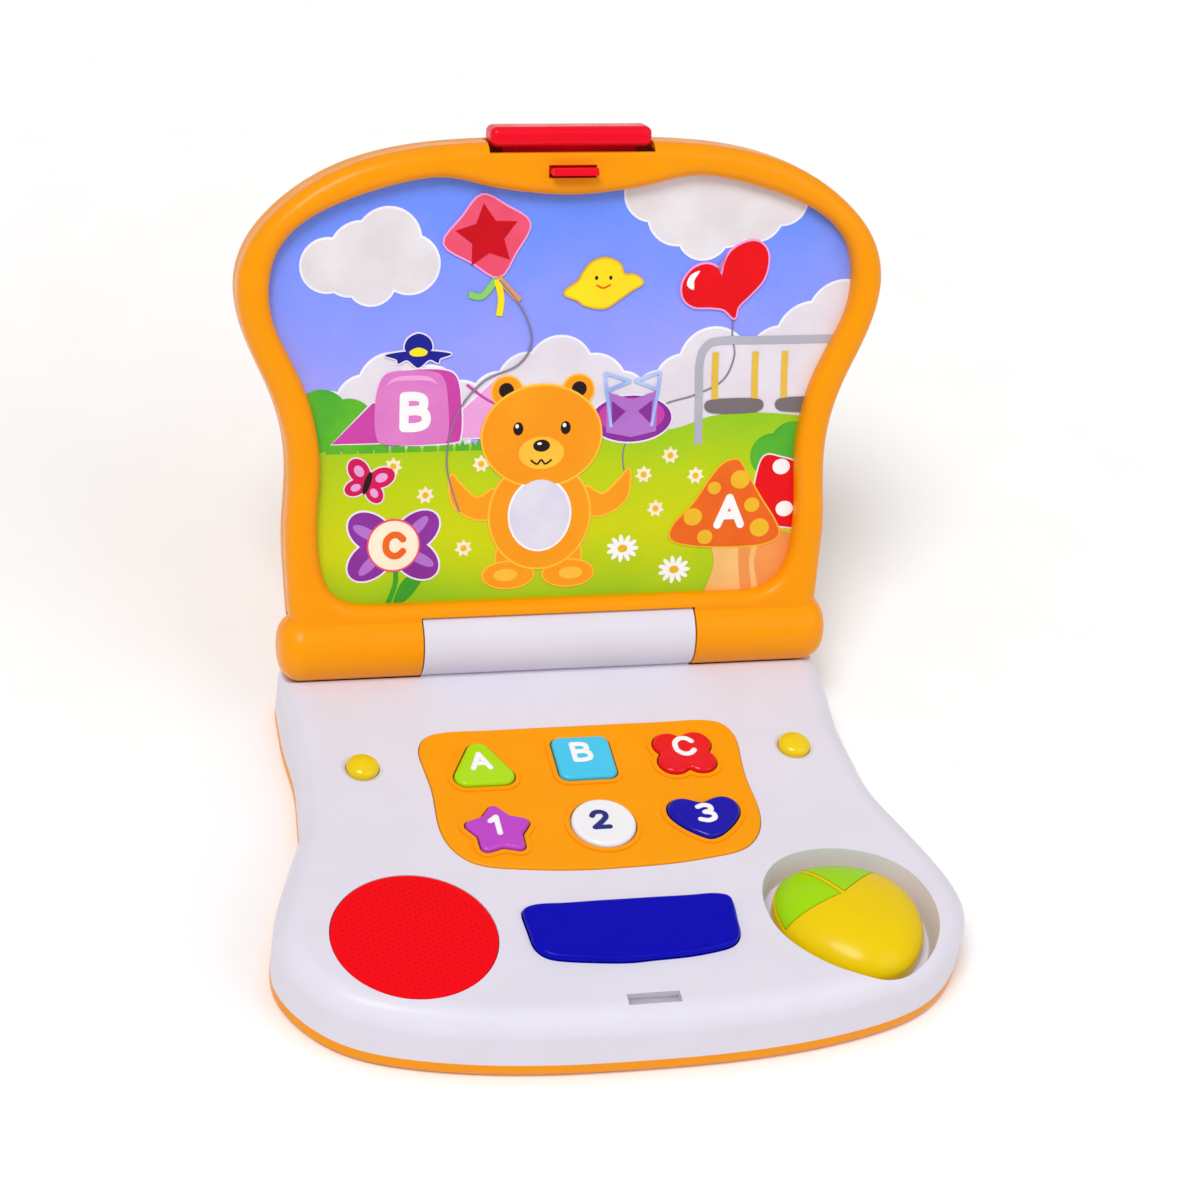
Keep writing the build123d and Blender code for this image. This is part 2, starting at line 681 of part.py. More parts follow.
def lid_front_bezel():
    ring = raised(lid_outline(), LID_SEAM, LID_FRONT)
    ring = fillet(edges_at(ring, LID_FRONT), 5.6)
    ring -= raised(window_outline(), LID_SEAM - 1, LID_FRONT + 1)
    ring -= window_flare(4.2)
    channel = raised(lid_outline(-WALL), LID_SEAM, LID_FRONT - WALL)
    channel -= raised(window_outline(2.0), LID_SEAM - 1, LID_FRONT)
    channel -= knuckle_room_wall()
    for x, y in lid_screw_places():
        channel -= post(x, y, 3.2, LID_SEAM - 1, LID_FRONT)
    bezel = ring - channel
    bezel -= raised(window_outline(2.1), LID_SEAM - 1, CARD_FRONT)
    bezel = bezel + barrels()
    bezel -= barrel_hollows()
    for side in (1, -1):
        inboard, outboard = sorted((side * 50, side * 80))
        bezel -= rod_x(PIN_R + PIN_GAP, inboard, outboard)
    for x, y in lid_screw_places():
        bezel -= post(x, y, SCREW_R, LID_SEAM - 1, 5)
    bezel -= knuckle_room()
    bezel -= latch_room()
    bezel += latch_spring_seats()
    return on_lid(bezel)


def window_flare(radius):
    """The space that rounds the bezel over into the window, as a loft through a quarter circle."""
    sections = []
    for step in range(6):
        turn = radians(18 * step)
        out = radius * (1 - cos(turn))
        sections.append(Pos(0, 0, LID_FRONT - radius + radius * sin(turn)) * window_outline(out))
    return loft(sections) + raised(window_outline(radius), LID_FRONT, LID_FRONT + 1)


def lid_back_cover():
    shell = raised(lid_outline(), LID_BACK, LID_SEAM)
    shell = fillet(edges_at(shell, LID_BACK), 7.0)
    hollow = raised(lid_outline(-WALL), LID_BACK + WALL, LID_SEAM + 1)
    hollow = fillet(edges_at(hollow, LID_BACK + WALL), 4.6)
    hollow -= knuckle_room_wall()
    shell -= hollow
    card_top = CARD_FRONT - CARD_THICK
    rib = raised(window_outline(1.4), LID_BACK + 1, card_top) - raised(window_outline(-0.6), LID_BACK, card_top + 1)
    shell += rib - knuckle_room_wall()
    for x, y in lid_screw_places():
        shell += post(x, y, 3.6, LID_BACK + 1, LID_SEAM)
        shell -= post(x, y, 3.0, LID_BACK - 1, LID_BACK + 5)
        shell -= post(x, y, 1.6, LID_BACK, LID_SEAM + 1)
    for side in (1, -1):
        inboard, outboard = sorted((side * (BARREL_IN - 1), side * 125))
        shell -= rod_x(BARREL_R + 0.1, inboard, outboard)
        shell -= block(inboard, outboard, -6, 3, -20, 5)
    shell -= knuckle_room()
    shell -= latch_room()
    return on_lid(shell)


def picture_card():
    back = CARD_FRONT - CARD_THICK
    card = raised(window_outline(1.7), back, CARD_FRONT)
    return on_lid(card - knuckle_room())


def lid_screws():
    screws = [Pos(x, y) * screw(LID_BACK + 5, 3.5, 2.6) for x, y in lid_screw_places()]
    return on_lid(Compound(screws))


def latch_room():
    """Notch for the red bar, the way in for its plate, and the slot that the hook comes out of."""
    notch = block(-30.8, 30.8, 184.0, 200, -6, LID_FRONT + 2)
    way = block(-26.6, 26.6, 172.5, 190, -2.6, 2.4)
    hook = block(-HOOK_HALF - 0.5, HOOK_HALF + 0.5, 176.4 - LATCH_STROKE - 0.3, 179.7, 0, LID_FRONT + 2)
    return notch + way + hook


def latch_slider():
    bar = block(-30, 30, 185.6, 193, -5, 6.5)
    bar = fillet(bar.edges(), 2.6)
    plate = block(-25, 25, 174.0, 187, -1.6, 1.6)
    for x in (-20, 20):
        plate -= block(x - 3.4, x + 3.4, 174.8, 183, -3, 3)
    profile = Polyline((176.6, 1.4), (178.4, 1.4), (178.4, 11.4), (179.2, 12.0), (179.2, 12.8), (178.0, 14.0),
                       (176.6, 14.0), close=True)
    hook = extrude(Plane.YZ * make_face(profile), amount=HOOK_HALF, both=True)
    return on_lid(bar + plate + hook)


def latch_spring_seats():
    """Fixed ribs inside the windows of the latch plate, one for each spring."""
    return [block(x - 3, x + 3, 175.2, 176.4, LID_SEAM, LID_FRONT - WALL + 0.5) for x in (-20, 20)]


def latch_springs():
    coil = coil_spring(183 - 176.4, 2.0, 0.25, 5)
    upright = Rot(-90, 0, 0) * coil
    return on_lid(Compound([Pos(x, 176.4, 0) * upright for x in (-20, 20)]))


# ---- every piece ------------------------------------------------------------------------------
PIECES = {
    "base_top_shell": base_top_shell,
    "base_bottom_shell": base_bottom_shell,
    "key_panel": key_panel,
    "space_bar": space_bar,
    "circuit_board": circuit_board,
    "board_components": board_components,
    "keypad_membrane": keypad_membrane,
    "space_bar_domes": space_bar_domes,
    "led_lens_left": lambda: led_lens(-1),
    "led_lens_right": lambda: led_lens(1),
    "indicator_leds": indicator_leds,
    "speaker_grille": speaker_grille,
    "speaker_frame": speaker_frame,
    "speaker_cone": speaker_cone,
    "speaker_magnet": speaker_magnet,
    "batteries": batteries,
    "battery_contacts": battery_contacts,
    "battery_springs": battery_springs,
    "battery_door": battery_door,
    "battery_door_screw": battery_door_screw,
    "case_screws": case_screws,
    "power_switch_slider": power_switch_slider,
    "power_switch_body": power_switch_body,
    "hinge_pins": hinge_pins,
    "mouse_carriage": mouse_carriage,
    "mouse_base": mouse_base,
    "mouse_cover": mouse_cover,
    "mouse_button_left": lambda: mouse_button(-1),
    "mouse_button_right": lambda: mouse_button(1),
    "mouse_switch_board": mouse_switch_board,
    "mouse_retainer": mouse_retainer,
    "mouse_screw": mouse_screw,
    "lid_front_bezel": lid_front_bezel,
    "lid_back_cover": lid_back_cover,
    "picture_card": picture_card,
    "lid_screws": lid_screws,
    "latch_slider": latch_slider,
    "latch_springs": latch_springs,
}

for name, make in PIECES.items():
    save(make(), name)
for name, (draw, column, row) in KEYS.items():
    save(key_cap(draw, column, row), name)
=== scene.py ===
"""Looks of the toy laptop computer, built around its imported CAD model."""
import bisect
import json
import math

import bmesh
import bpy
from mathutils import Matrix, Vector


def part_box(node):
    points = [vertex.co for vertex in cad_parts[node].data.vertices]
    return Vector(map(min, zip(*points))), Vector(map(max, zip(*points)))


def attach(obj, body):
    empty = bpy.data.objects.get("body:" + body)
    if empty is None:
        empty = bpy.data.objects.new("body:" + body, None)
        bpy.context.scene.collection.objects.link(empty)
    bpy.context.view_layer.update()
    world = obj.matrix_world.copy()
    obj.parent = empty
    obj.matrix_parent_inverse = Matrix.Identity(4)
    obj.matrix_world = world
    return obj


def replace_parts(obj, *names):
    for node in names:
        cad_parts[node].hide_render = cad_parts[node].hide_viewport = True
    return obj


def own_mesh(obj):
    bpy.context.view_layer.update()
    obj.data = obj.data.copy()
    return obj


MM = 0.001

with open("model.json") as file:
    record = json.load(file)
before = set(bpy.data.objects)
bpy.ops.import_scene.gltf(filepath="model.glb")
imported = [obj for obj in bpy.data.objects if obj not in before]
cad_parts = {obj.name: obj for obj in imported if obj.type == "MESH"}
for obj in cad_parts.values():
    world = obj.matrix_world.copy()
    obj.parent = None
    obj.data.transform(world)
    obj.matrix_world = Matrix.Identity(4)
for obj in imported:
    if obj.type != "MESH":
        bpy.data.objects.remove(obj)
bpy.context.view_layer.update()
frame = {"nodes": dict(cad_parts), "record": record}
nodes = frame["nodes"]

# The lid's own frame: u along the hinge, v up the lid, d out of the picture, all in millimetres.
OPEN_TILT = 65.5
HINGE_Y, HINGE_Z = 85.0, 37.0
LID = Matrix.Translation((0, HINGE_Y * MM, HINGE_Z * MM)) @ Matrix.Rotation(math.radians(OPEN_TILT), 4, "X")
CARD_FRONT = 1.5          # the card's front face, along d
CARD_MIDDLE = (0.0, 95.0)
CARD_LIP = 0.6            # the print ends this far inside the card's edge
SAME_PLANE = 0.1          # a vertex this close to the card's front belongs to it
EDGE_STEP = 2.5           # a shape that crosses the card's edge is cut into steps this long
SAME_SPOT = 0.05          # corners closer than this are one corner
PRINT_DEPTH = 0.1         # the printed slabs start this far inside the card
LAYER = 0.055             # each printed layer stands this far above the one below
STEP = 0.0009             # and within a layer each later shape this far above the earlier ones


# ---- materials ----------------------------------------------------------------------------------
def linear(colour, shade=1.0):
    """A colour given as 0-255 screen values, as Blender's linear values."""
    values = []
    for value in colour:
        value = min(1.0, max(0.0, value / 255 * shade))
        values.append(value / 12.92 if value <= 0.04045 else ((value + 0.055) / 1.055) ** 2.4)
    return (*values, 1.0)


def new_material(name):
    material = bpy.data.materials.new(name)
    material.use_nodes = True
    tree = material.node_tree
    return material, tree, tree.nodes["Principled BSDF"]


def noise(tree, scale, detail=3.0, stretch=(1, 1, 1)):
    """A noise texture over the piece's own coordinates; scale counts features per metre."""
    place = tree.nodes.new("ShaderNodeTexCoord")
    mapping = tree.nodes.new("ShaderNodeMapping")
    mapping.inputs["Scale"].default_value = stretch
    texture = tree.nodes.new("ShaderNodeTexNoise")
    texture.inputs["Scale"].default_value = scale
    texture.inputs["Detail"].default_value = detail
    tree.links.new(place.outputs["Object"], mapping.inputs["Vector"])
    tree.links.new(mapping.outputs["Vector"], texture.inputs["Vector"])
    return texture.outputs["Fac"]


def ramp(tree, source, stops):
    node = tree.nodes.new("ShaderNodeValToRGB")
    marks = node.color_ramp.elements
    marks[0].position, marks[0].color = stops[0]
    marks[1].position, marks[1].color = stops[-1]
    for position, colour in stops[1:-1]:
        marks.new(position).color = colour
    tree.links.new(source, node.inputs["Fac"])
    return node.outputs["Color"]


def spread(tree, source, low, high):
    node = tree.nodes.new("ShaderNodeMapRange")
    node.inputs["From Min"].default_value = 0.3
    node.inputs["From Max"].default_value = 0.7
    node.inputs["To Min"].default_value = low
    node.inputs["To Max"].default_value = high
    tree.links.new(source, node.inputs["Value"])
    return node.outputs["Result"]


def bump(tree, shader, source, height, strength=1.0):
    node = tree.nodes.new("ShaderNodeBump")
    node.inputs["Distance"].default_value = height * MM
    node.inputs["Strength"].default_value = strength
    tree.links.new(source, node.inputs["Height"])
    tree.links.new(node.outputs["Normal"], shader.inputs["Normal"])


def worn_edges(tree, colour_socket, wear):
    """Lightens convex edges a little, where moulded plastic rubs."""
    geometry = tree.nodes.new("ShaderNodeNewGeometry")
    edge = ramp(tree, geometry.outputs["Pointiness"], [(0.56, (0, 0, 0, 1)), (0.68, (wear, wear, wear, 1))])
    mix = tree.nodes.new("ShaderNodeMix")
    mix.data_type = "RGBA"
    mix.blend_type = "SCREEN"
    mix.inputs["Factor"].default_value = 1.0
    tree.links.new(colour_socket, mix.inputs[6])
    tree.links.new(edge, mix.inputs[7])
    return mix.outputs[2]


def plastic(name, colour, rough=0.3, coat=0.06, grain=0.012, soft=0.0, wear=0.03, shine=0.2):
    """Moulded plastic: faint mottling, orange-peel skin, uneven gloss and paler rubbed edges."""
    material, tree, shader = new_material(name)
    mottle = noise(tree, 45, 4)
    darker, paler = linear(colour, 0.99), linear(colour, 1.008)
    body = ramp(tree, mottle, [(0.3, darker), (0.55, linear(colour)), (0.75, paler)])
    tree.links.new(worn_edges(tree, body, wear), shader.inputs["Base Color"])
    gloss = spread(tree, noise(tree, 120, 5), rough - 0.05, rough + 0.07)
    tree.links.new(gloss, shader.inputs["Roughness"])
    shader.inputs["Coat Weight"].default_value = coat
    shader.inputs["Coat Roughness"].default_value = 0.12
    shader.inputs["Specular IOR Level"].default_value = shine
    if soft:
        shader.inputs["Subsurface Weight"].default_value = soft
        shader.inputs["Subsurface Radius"].default_value = (1.0, 0.6, 0.4)
        shader.inputs["Subsurface Scale"].default_value = 0.002
    bump(tree, shader, noise(tree, 900, 3), grain)
    return material


def metal(name, colour, rough, stretch=(1, 1, 1)):
    material, tree, shader = new_material(name)
    brush = noise(tree, 900, 4, stretch)
    tones = ramp(tree, brush, [(0.3, linear(colour, 0.85)), (0.7, linear(colour, 1.1))])
    tree.links.new(tones, shader.inputs["Base Color"])
    tree.links.new(spread(tree, brush, rough - 0.06, rough + 0.1), shader.inputs["Roughness"])
    shader.inputs["Metallic"].default_value = 1.0
    bump(tree, shader, brush, 0.01)
    return material


def varnish(tree, shader):
    """The thin varnish over the print, with its fine grain."""
    tree.links.new(spread(tree, noise(tree, 300, 4), 0.2, 0.32), shader.inputs["Roughness"])
    shader.inputs["Coat Weight"].default_value = 0.08
    shader.inputs["Specular IOR Level"].default_value = 0.2
    shader.inputs["Coat Roughness"].default_value = 0.08
    bump(tree, shader, noise(tree, 1500, 2), 0.008)


def printed(name, low, high=None, scale=60):
    """Glossy print on card: two tones that drift into each other."""
    material, tree, shader = new_material(name)
    drift = noise(tree, scale, 2)
    tones = ramp(tree, drift, [(0.35, linear(low)), (0.65, linear(high or low, 1.0 if high else 1.04))])
    tree.links.new(tones, shader.inputs["Base Color"])
    varnish(tree, shader)
    return material


def graded(name, stops):
    """Print whose colour runs from the foot of the piece to its top, with soft clouding."""
    material, tree, shader = new_material(name)
    place = tree.nodes.new("ShaderNodeTexCoord")
    split = tree.nodes.new("ShaderNodeSeparateXYZ")
    tree.links.new(place.outputs["Generated"], split.inputs["Vector"])
    add = tree.nodes.new("ShaderNodeMath")
    add.operation = "ADD"
    tree.links.new(split.outputs["Z"], add.inputs[0])
    tree.links.new(spread(tree, noise(tree, 35, 3), -0.06, 0.06), add.inputs[1])
    tones = ramp(tree, add.outputs[0], [(height, linear(colour)) for height, colour in stops])
    tree.links.new(tones, shader.inputs["Base Color"])
    varnish(tree, shader)
    return material


FINISHES = {
    "white_shell": plastic("white_shell", (224, 220, 232), 0.34, 0.05, soft=0.05, wear=0.02),
    "orange_shell": plastic("orange_shell", (244, 152, 2), 0.36, 0.03, wear=0.0, shine=0.14),
    "orange_panel": plastic("orange_panel", (248, 156, 2), 0.38, 0.03, wear=0.0, shine=0.14),
    "orange_bezel": plastic("orange_bezel", (249, 154, 0), 0.28, 0.04, wear=0.0, shine=0.15),
    "board_green": plastic("board_green", (34, 102, 58), 0.45, 0.3),
    "resin_black": plastic("resin_black", (24, 24, 26), 0.25, 0.5),
    "silicone": plastic("silicone", (206, 206, 200), 0.6, 0.0, soft=0.3),
    "lens_yellow": plastic("lens_yellow", (238, 204, 2), 0.15, 0.4, soft=0.1, wear=0.0),
    "led_clear": plastic("led_clear", (240, 236, 214), 0.1, 0.6, soft=0.3),
    "grille_red": plastic("grille_red", (248, 2, 22), 0.4),
    "speaker_steel": metal("speaker_steel", (150, 150, 152), 0.4),
    "speaker_paper": plastic("speaker_paper", (40, 38, 36), 0.8, 0.0, 0.05),
    "magnet_grey": metal("magnet_grey", (74, 74, 78), 0.6),
    "cell_jacket": plastic("cell_jacket", (58, 86, 60), 0.3, 0.4),
    "contact_metal": metal("contact_metal", (205, 205, 200), 0.22),
    "screw_steel": metal("screw_steel", (160, 158, 150), 0.35, (1, 1, 12)),
    "switch_black": plastic("switch_black", (30, 30, 32), 0.5, 0.0),
    "pin_steel": metal("pin_steel", (176, 176, 178), 0.25, (0.2, 6, 6)),
    "latch_red": plastic("latch_red", (240, 2, 36), 0.26, 0.06, wear=0.0, shine=0.16),
    "key_green": plastic("key_green", (172, 222, 6), 0.16, 0.25, soft=0.05),
    "key_cyan": plastic("key_cyan", (70, 200, 238), 0.16, 0.25, soft=0.05),
    "key_red": plastic("key_red", (232, 10, 22), 0.16, 0.2, soft=0.04, wear=0.0),
    "key_purple": plastic("key_purple", (190, 70, 200), 0.16, 0.25, soft=0.05),
    "key_white": plastic("key_white", (240, 240, 244), 0.16, 0.25, soft=0.06),
    "key_blue": plastic("key_blue", (6, 6, 168), 0.16, 0.2, wear=0.0),
    "bar_blue": plastic("bar_blue", (0, 0, 176), 0.3, 0.02, wear=0.0, shine=0.12),
    "mouse_yellow": plastic("mouse_yellow", (236, 202, 0), 0.24, 0.08, wear=0.0, shine=0.16),
    "mouse_green": plastic("mouse_green", (160, 218, 0), 0.24, 0.08, wear=0.0, shine=0.16),
    "mouse_inner": plastic("mouse_inner", (226, 224, 232), 0.4, 0.0),
    "picture": graded("picture", [(0.1, (176, 206, 20)), (0.2, (190, 210, 16)), (0.3, (200, 190, 250)),
                                  (0.55, (156, 160, 255)), (0.9, (112, 146, 255))]),
}
LEGEND_WHITE = plastic("legend_white", (246, 246, 250), 0.3, 0.3, 0.004)
LEGEND_BLUE = plastic("legend_blue", (30, 40, 128), 0.3, 0.3, 0.004)


def dress_cad_nodes():
    """Gives every CAD node the finish of its own material slot."""
    for part in frame["record"]["subparts"]:
        node = nodes[part["node"]]
        node.data.materials.clear()
        node.data.materials.append(FINISHES[part["material_slot"]])


def smooth_shade(mesh, angle=32):
    mesh.shade_smooth()
    mesh.set_sharp_from_angle(angle=math.radians(angle))


# ---- outlines, in millimetres on the lid ----------------------------------------------------------
def oval(centre, wide, high=None, turn=0.0, count=40):
    high = high or wide
    cosine, sine = math.cos(math.radians(turn)), math.sin(math.radians(turn))
    points = []
    for step in range(count):
        angle = 2 * math.pi * step / count
        x, y = wide * math.cos(angle), high * math.sin(angle)
        points.append((centre[0] + x * cosine - y * sine, centre[1] + x * sine + y * cosine))
    return points


def between(a, b, c, d, t):
    """A point on the Catmull-Rom curve from b to c."""
    place = []
    for p, q, r, s in zip(a, b, c, d):
        square = 2 * p - 5 * q + 4 * r - s
        cube = 3 * q - p - 3 * r + s
        place.append(0.5 * (2 * q + (r - p) * t + square * t * t + cube * t ** 3))
    return tuple(place)


def rounded(points, steps=6):
    """A smooth closed outline through the points."""
    count = len(points)
    outline = []
    for i in range(count):
        four = [points[(i + k) % count] for k in (-1, 0, 1, 2)]
        outline += [between(*four, step / steps) for step in range(steps)]
    return outline


def line_through(points, steps=8):
    """A smooth open line through the points."""
    ends = [points[0]] + list(points) + [points[-1]]
    line = []
    for i in range(len(points) - 1):
        line += [between(*ends[i:i + 4], step / steps) for step in range(steps)]
    return line + [points[-1]]


def stroke(points, width, steps=8):
    """The outline of a smooth line drawn with a pen of this width."""
    line = [Vector(p) for p in line_through(points, steps)]
    left, right = [], []
    for i, point in enumerate(line):
        along = (line[min(i + 1, len(line) - 1)] - line[max(i - 1, 0)]).normalized()
        aside = Vector((-along.y, along.x)) * width / 2
        left.append(tuple(point + aside))
        right.append(tuple(point - aside))
    return left + right[::-1]


def star(centre, outer, inner, corners=5, turn=90.0):
    points = []
    for step in range(corners * 2):
        reach = outer if step % 2 == 0 else inner
        angle = math.radians(turn) + math.pi * step / corners
        points.append((centre[0] + reach * math.cos(angle), centre[1] + reach * math.sin(angle)))
    return points


def moved(points, x, y, turn=0.0, size=1.0):
    cosine, sine = math.cos(math.radians(turn)) * size, math.sin(math.radians(turn)) * size
    return [(x + a * cosine - b * sine, y + a * sine + b * cosine) for a, b in points]


def widened(points, out):
    """The outline moved outward, for the pale border that the printed figures have."""
    count = len(points)
    area = sum(points[i - 1][0] * points[i][1] - points[i][0] * points[i - 1][1] for i in range(count))
    side = 1 if area > 0 else -1
    result = []
    for i in range(count):
        along = (Vector(points[(i + 1) % count]) - Vector(points[i - 1])).normalized()
        result.append((points[i][0] + side * out * along.y, points[i][1] - side * out * along.x))
    return result


def card_edge():
    """The corners of the card's front face, in order round its middle, read from the CAD card."""
    to_lid = LID.inverted()
    corners = {}
    for vertex in nodes["picture_card"].data.vertices:
        u, v, d = (to_lid @ vertex.co) / MM
        if abs(d - CARD_FRONT) < SAME_PLANE:
            u, v = u - CARD_MIDDLE[0], v - CARD_MIDDLE[1]
            corners[(round(u, 2), round(v, 2))] = math.atan2(v, u)
    return sorted(corners, key=corners.get)


CARD_EDGE = card_edge()
CARD_ANGLES = [math.atan2(v, u) for u, v in CARD_EDGE]


def card_reach(angle):
    """How far the card reaches from its middle in this direction."""
    after = bisect.bisect_left(CARD_ANGLES, angle) % len(CARD_EDGE)
    near, far = Vector(CARD_EDGE[after - 1]), Vector(CARD_EDGE[after])
    side = far - near
    ahead = Vector((math.cos(angle), math.sin(angle)))
    across = ahead.cross(side)
    if abs(across) < 1e-6:
        return min(near.length, far.length) - CARD_LIP
    return near.cross(side) / across - CARD_LIP


def on_card(x, y):
    u, v = x - CARD_MIDDLE[0], y - CARD_MIDDLE[1]
    return math.hypot(u, v) < card_reach(math.atan2(v, u))


def kept_on_card(points):
    """The outline with every part of it that would leave the card pulled back to the card's edge."""
    if all(on_card(x, y) for x, y in points):
        return points
    fine = []
    for i, (x, y) in enumerate(points):
        last_x, last_y = points[i - 1]
        pieces = max(1, int(math.hypot(x - last_x, y - last_y) / EDGE_STEP))
        for step in range(1, pieces + 1):
            fine.append((last_x + (x - last_x) * step / pieces, last_y + (y - last_y) * step / pieces))
    kept = []
    for x, y in fine:
        u, v = x - CARD_MIDDLE[0], y - CARD_MIDDLE[1]
        reach = math.hypot(u, v)
        most = card_reach(math.atan2(v, u))
        share = min(1.0, most / max(reach, 1e-6))
        spot = (CARD_MIDDLE[0] + u * share, CARD_MIDDLE[1] + v * share)
        if not kept or math.dist(spot, kept[-1]) > SAME_SPOT:
            kept.append(spot)
    if len(kept) > 3 and math.dist(kept[0], kept[-1]) < SAME_SPOT:
        kept.pop()
    return kept


class Print:
    """One printed figure of the picture: thin slabs stacked on the card."""

    def __init__(self, name):
        self.name = name
        self.shapes = bmesh.new()
        self.colours = []
        self.drawn = 0

    def add(self, points, colour, layer):
        if colour not in self.colours:
            self.colours.append(colour)
        points = kept_on_card(points)
        self.drawn += 1
        top = CARD_FRONT + LAYER * layer + STEP * self.drawn
        upper = [self.shapes.verts.new((x, y, top)) for x, y in points]
        lower = [self.shapes.verts.new((x, y, CARD_FRONT - PRINT_DEPTH)) for x, y in points]
        faces = [self.shapes.faces.new(upper), self.shapes.faces.new(lower[::-1])]
        for i in range(len(points)):
            faces.append(self.shapes.faces.new((upper[i - 1], lower[i - 1], lower[i], upper[i])))
        for face in faces:
            face.material_index = self.colours.index(colour)

    def bordered(self, points, colour, layer, border=0.6, edge="pale"):
        self.add(widened(points, border), edge, layer)
        self.add(points, colour, layer + 1)

    def write(self, text, centre, height, pen, colour, layer):
        for line in pen_strokes(text, centre, height - pen):
            for spot in line:
                self.add(oval(spot, pen / 2, count=20), colour, layer)
            self.add(stroke(line, pen), colour, layer)

    def finish(self):
        bmesh.ops.recalc_face_normals(self.shapes, faces=self.shapes.faces)
        mesh = bpy.data.meshes.new(self.name)
        self.shapes.to_mesh(mesh)
        self.shapes.free()
        mesh.transform(Matrix.Diagonal((MM, MM, MM, 1)))
        mesh.transform(LID)
        for colour in self.colours:
            mesh.materials.append(INKS[colour])
        return place_piece(self.name, mesh, "lid")


def place_piece(name, mesh, body):
    piece = bpy.data.objects.new(name, mesh)
    bpy.context.scene.collection.objects.link(piece)
    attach(piece, body)
    return piece


INKS = {
    "pale": printed("ink_pale", (236, 226, 238)),
    "white": printed("ink_white", (246, 246, 248)),
    "cloud": printed("ink_cloud", (224, 217, 222), (234, 229, 233)),
    "far_cloud": printed("ink_far_cloud", (226, 217, 228), (232, 226, 236)),
    "cloud_edge": printed("ink_cloud_edge", (238, 238, 250)),
    "grass": graded("ink_grass", [(0.02, (150, 200, 20)), (0.3, (206, 214, 8)), (0.55, (190, 212, 14)),
                                  (1.0, (116, 196, 40))]),
    "grass_dark": printed("ink_grass_dark", (74, 172, 48), (104, 188, 40)),
    "bush": printed("ink_bush", (80, 178, 50), (98, 190, 44)),
    "red": printed("ink_red", (228, 8, 20)),
    "deep_red": printed("ink_deep_red", (196, 4, 24)),
    "rose": printed("ink_rose", (206, 22, 84)),
    "mint": printed("ink_mint", (136, 204, 96)),
    "tan": printed("ink_tan", (216, 150, 100)),
    "pink_red": printed("ink_pink_red", (240, 92, 122), (236, 80, 110)),
    "yellow": printed("ink_yellow", (250, 222, 30)),
    "gold": printed("ink_gold", (234, 182, 40)),
    "rope": printed("ink_rope", (226, 186, 66)),
    "string": printed("ink_string", (132, 124, 140)),
    "navy": printed("ink_navy", (26, 30, 140)),
    "pink": printed("ink_pink", (226, 132, 202), (220, 120, 198)),
    "pink_light": printed("ink_pink_light", (232, 160, 216)),
    "magenta": printed("ink_magenta", (200, 60, 162), (206, 70, 168)),
    "purple": printed("ink_purple", (134, 44, 150), (142, 52, 160)),
    "lilac": printed("ink_lilac", (176, 112, 200)),
    "ribbon": printed("ink_ribbon", (150, 178, 240), (190, 208, 248)),
    "grey": printed("ink_grey", (178, 176, 190)),
    "slate": printed("ink_slate", (118, 108, 112)),
    "teddy": printed("ink_teddy", (250, 160, 24), (248, 152, 20), scale=40),
    "teddy_light": printed("ink_teddy_light", (252, 190, 60)),
    "belly": printed("ink_belly", (216, 212, 234), (228, 225, 240)),
    "dark": printed("ink_dark", (34, 22, 20)),
    "orange": printed("ink_orange", (234, 96, 26), (238, 108, 30)),
    "stalk": printed("ink_stalk", (246, 196, 124), (240, 180, 104)),
    "stalk_shade": printed("ink_stalk_shade", (236, 150, 80)),
    "leaf": printed("ink_leaf", (60, 158, 40)),
    "cream": printed("ink_cream", (250, 232, 206)),
}


# ---- the picture, figure by figure -------------------------------------------------------------------
STRING_WIDTH = 0.55


def puffs(figure, circles, colour, edge, layer):
    """A cloud or bush: overlapping puffs, all with one pale border."""
    border = 0.9
    for x, y, reach in circles:
        figure.add(oval((x, y), reach + border), edge, layer)
    for x, y, reach in circles:
        figure.add(oval((x, y), reach), colour, layer + 1)


def draw_sky():
    sky = Print("picture_clouds")
    skyline = [(-98, 84, 9), (-87, 88, 8), (-74, 92, 10), (-64, 98, 12), (-50, 94, 11), (-38, 90, 9),
               (-24, 92, 10), (-13, 98, 11), (-1, 103, 12), (12, 96, 12), (23, 92, 9),
               (37, 92, 9), (46, 97, 10), (58, 104, 13), (70, 98, 13), (84, 104, 13), (96, 112, 14),
               (108, 120, 14)]
    below_it = [(60, 84, 14), (84, 88, 14), (0, 84, 16), (-48, 82, 14), (30, 82, 12), (46, 85, 12),
                (100, 94, 12)]
    left_cloud = [(-88, 143, 9.5), (-76, 147.5, 11), (-66, 152, 11.5), (-58, 143, 10.5), (-72, 137, 8.5),
                  (-80, 141, 9)]
    right_cloud = [(32, 168, 10), (42, 160, 11), (52, 153, 9.5), (60, 159, 11), (72, 160, 10), (82, 165, 9),
                   (56, 170, 16)]
    puffs(sky, skyline + below_it, "far_cloud", "cloud_edge", 1)
    puffs(sky, left_cloud, "cloud", "cloud_edge", 3)
    puffs(sky, right_cloud, "cloud", "cloud_edge", 3)
    sky.finish()


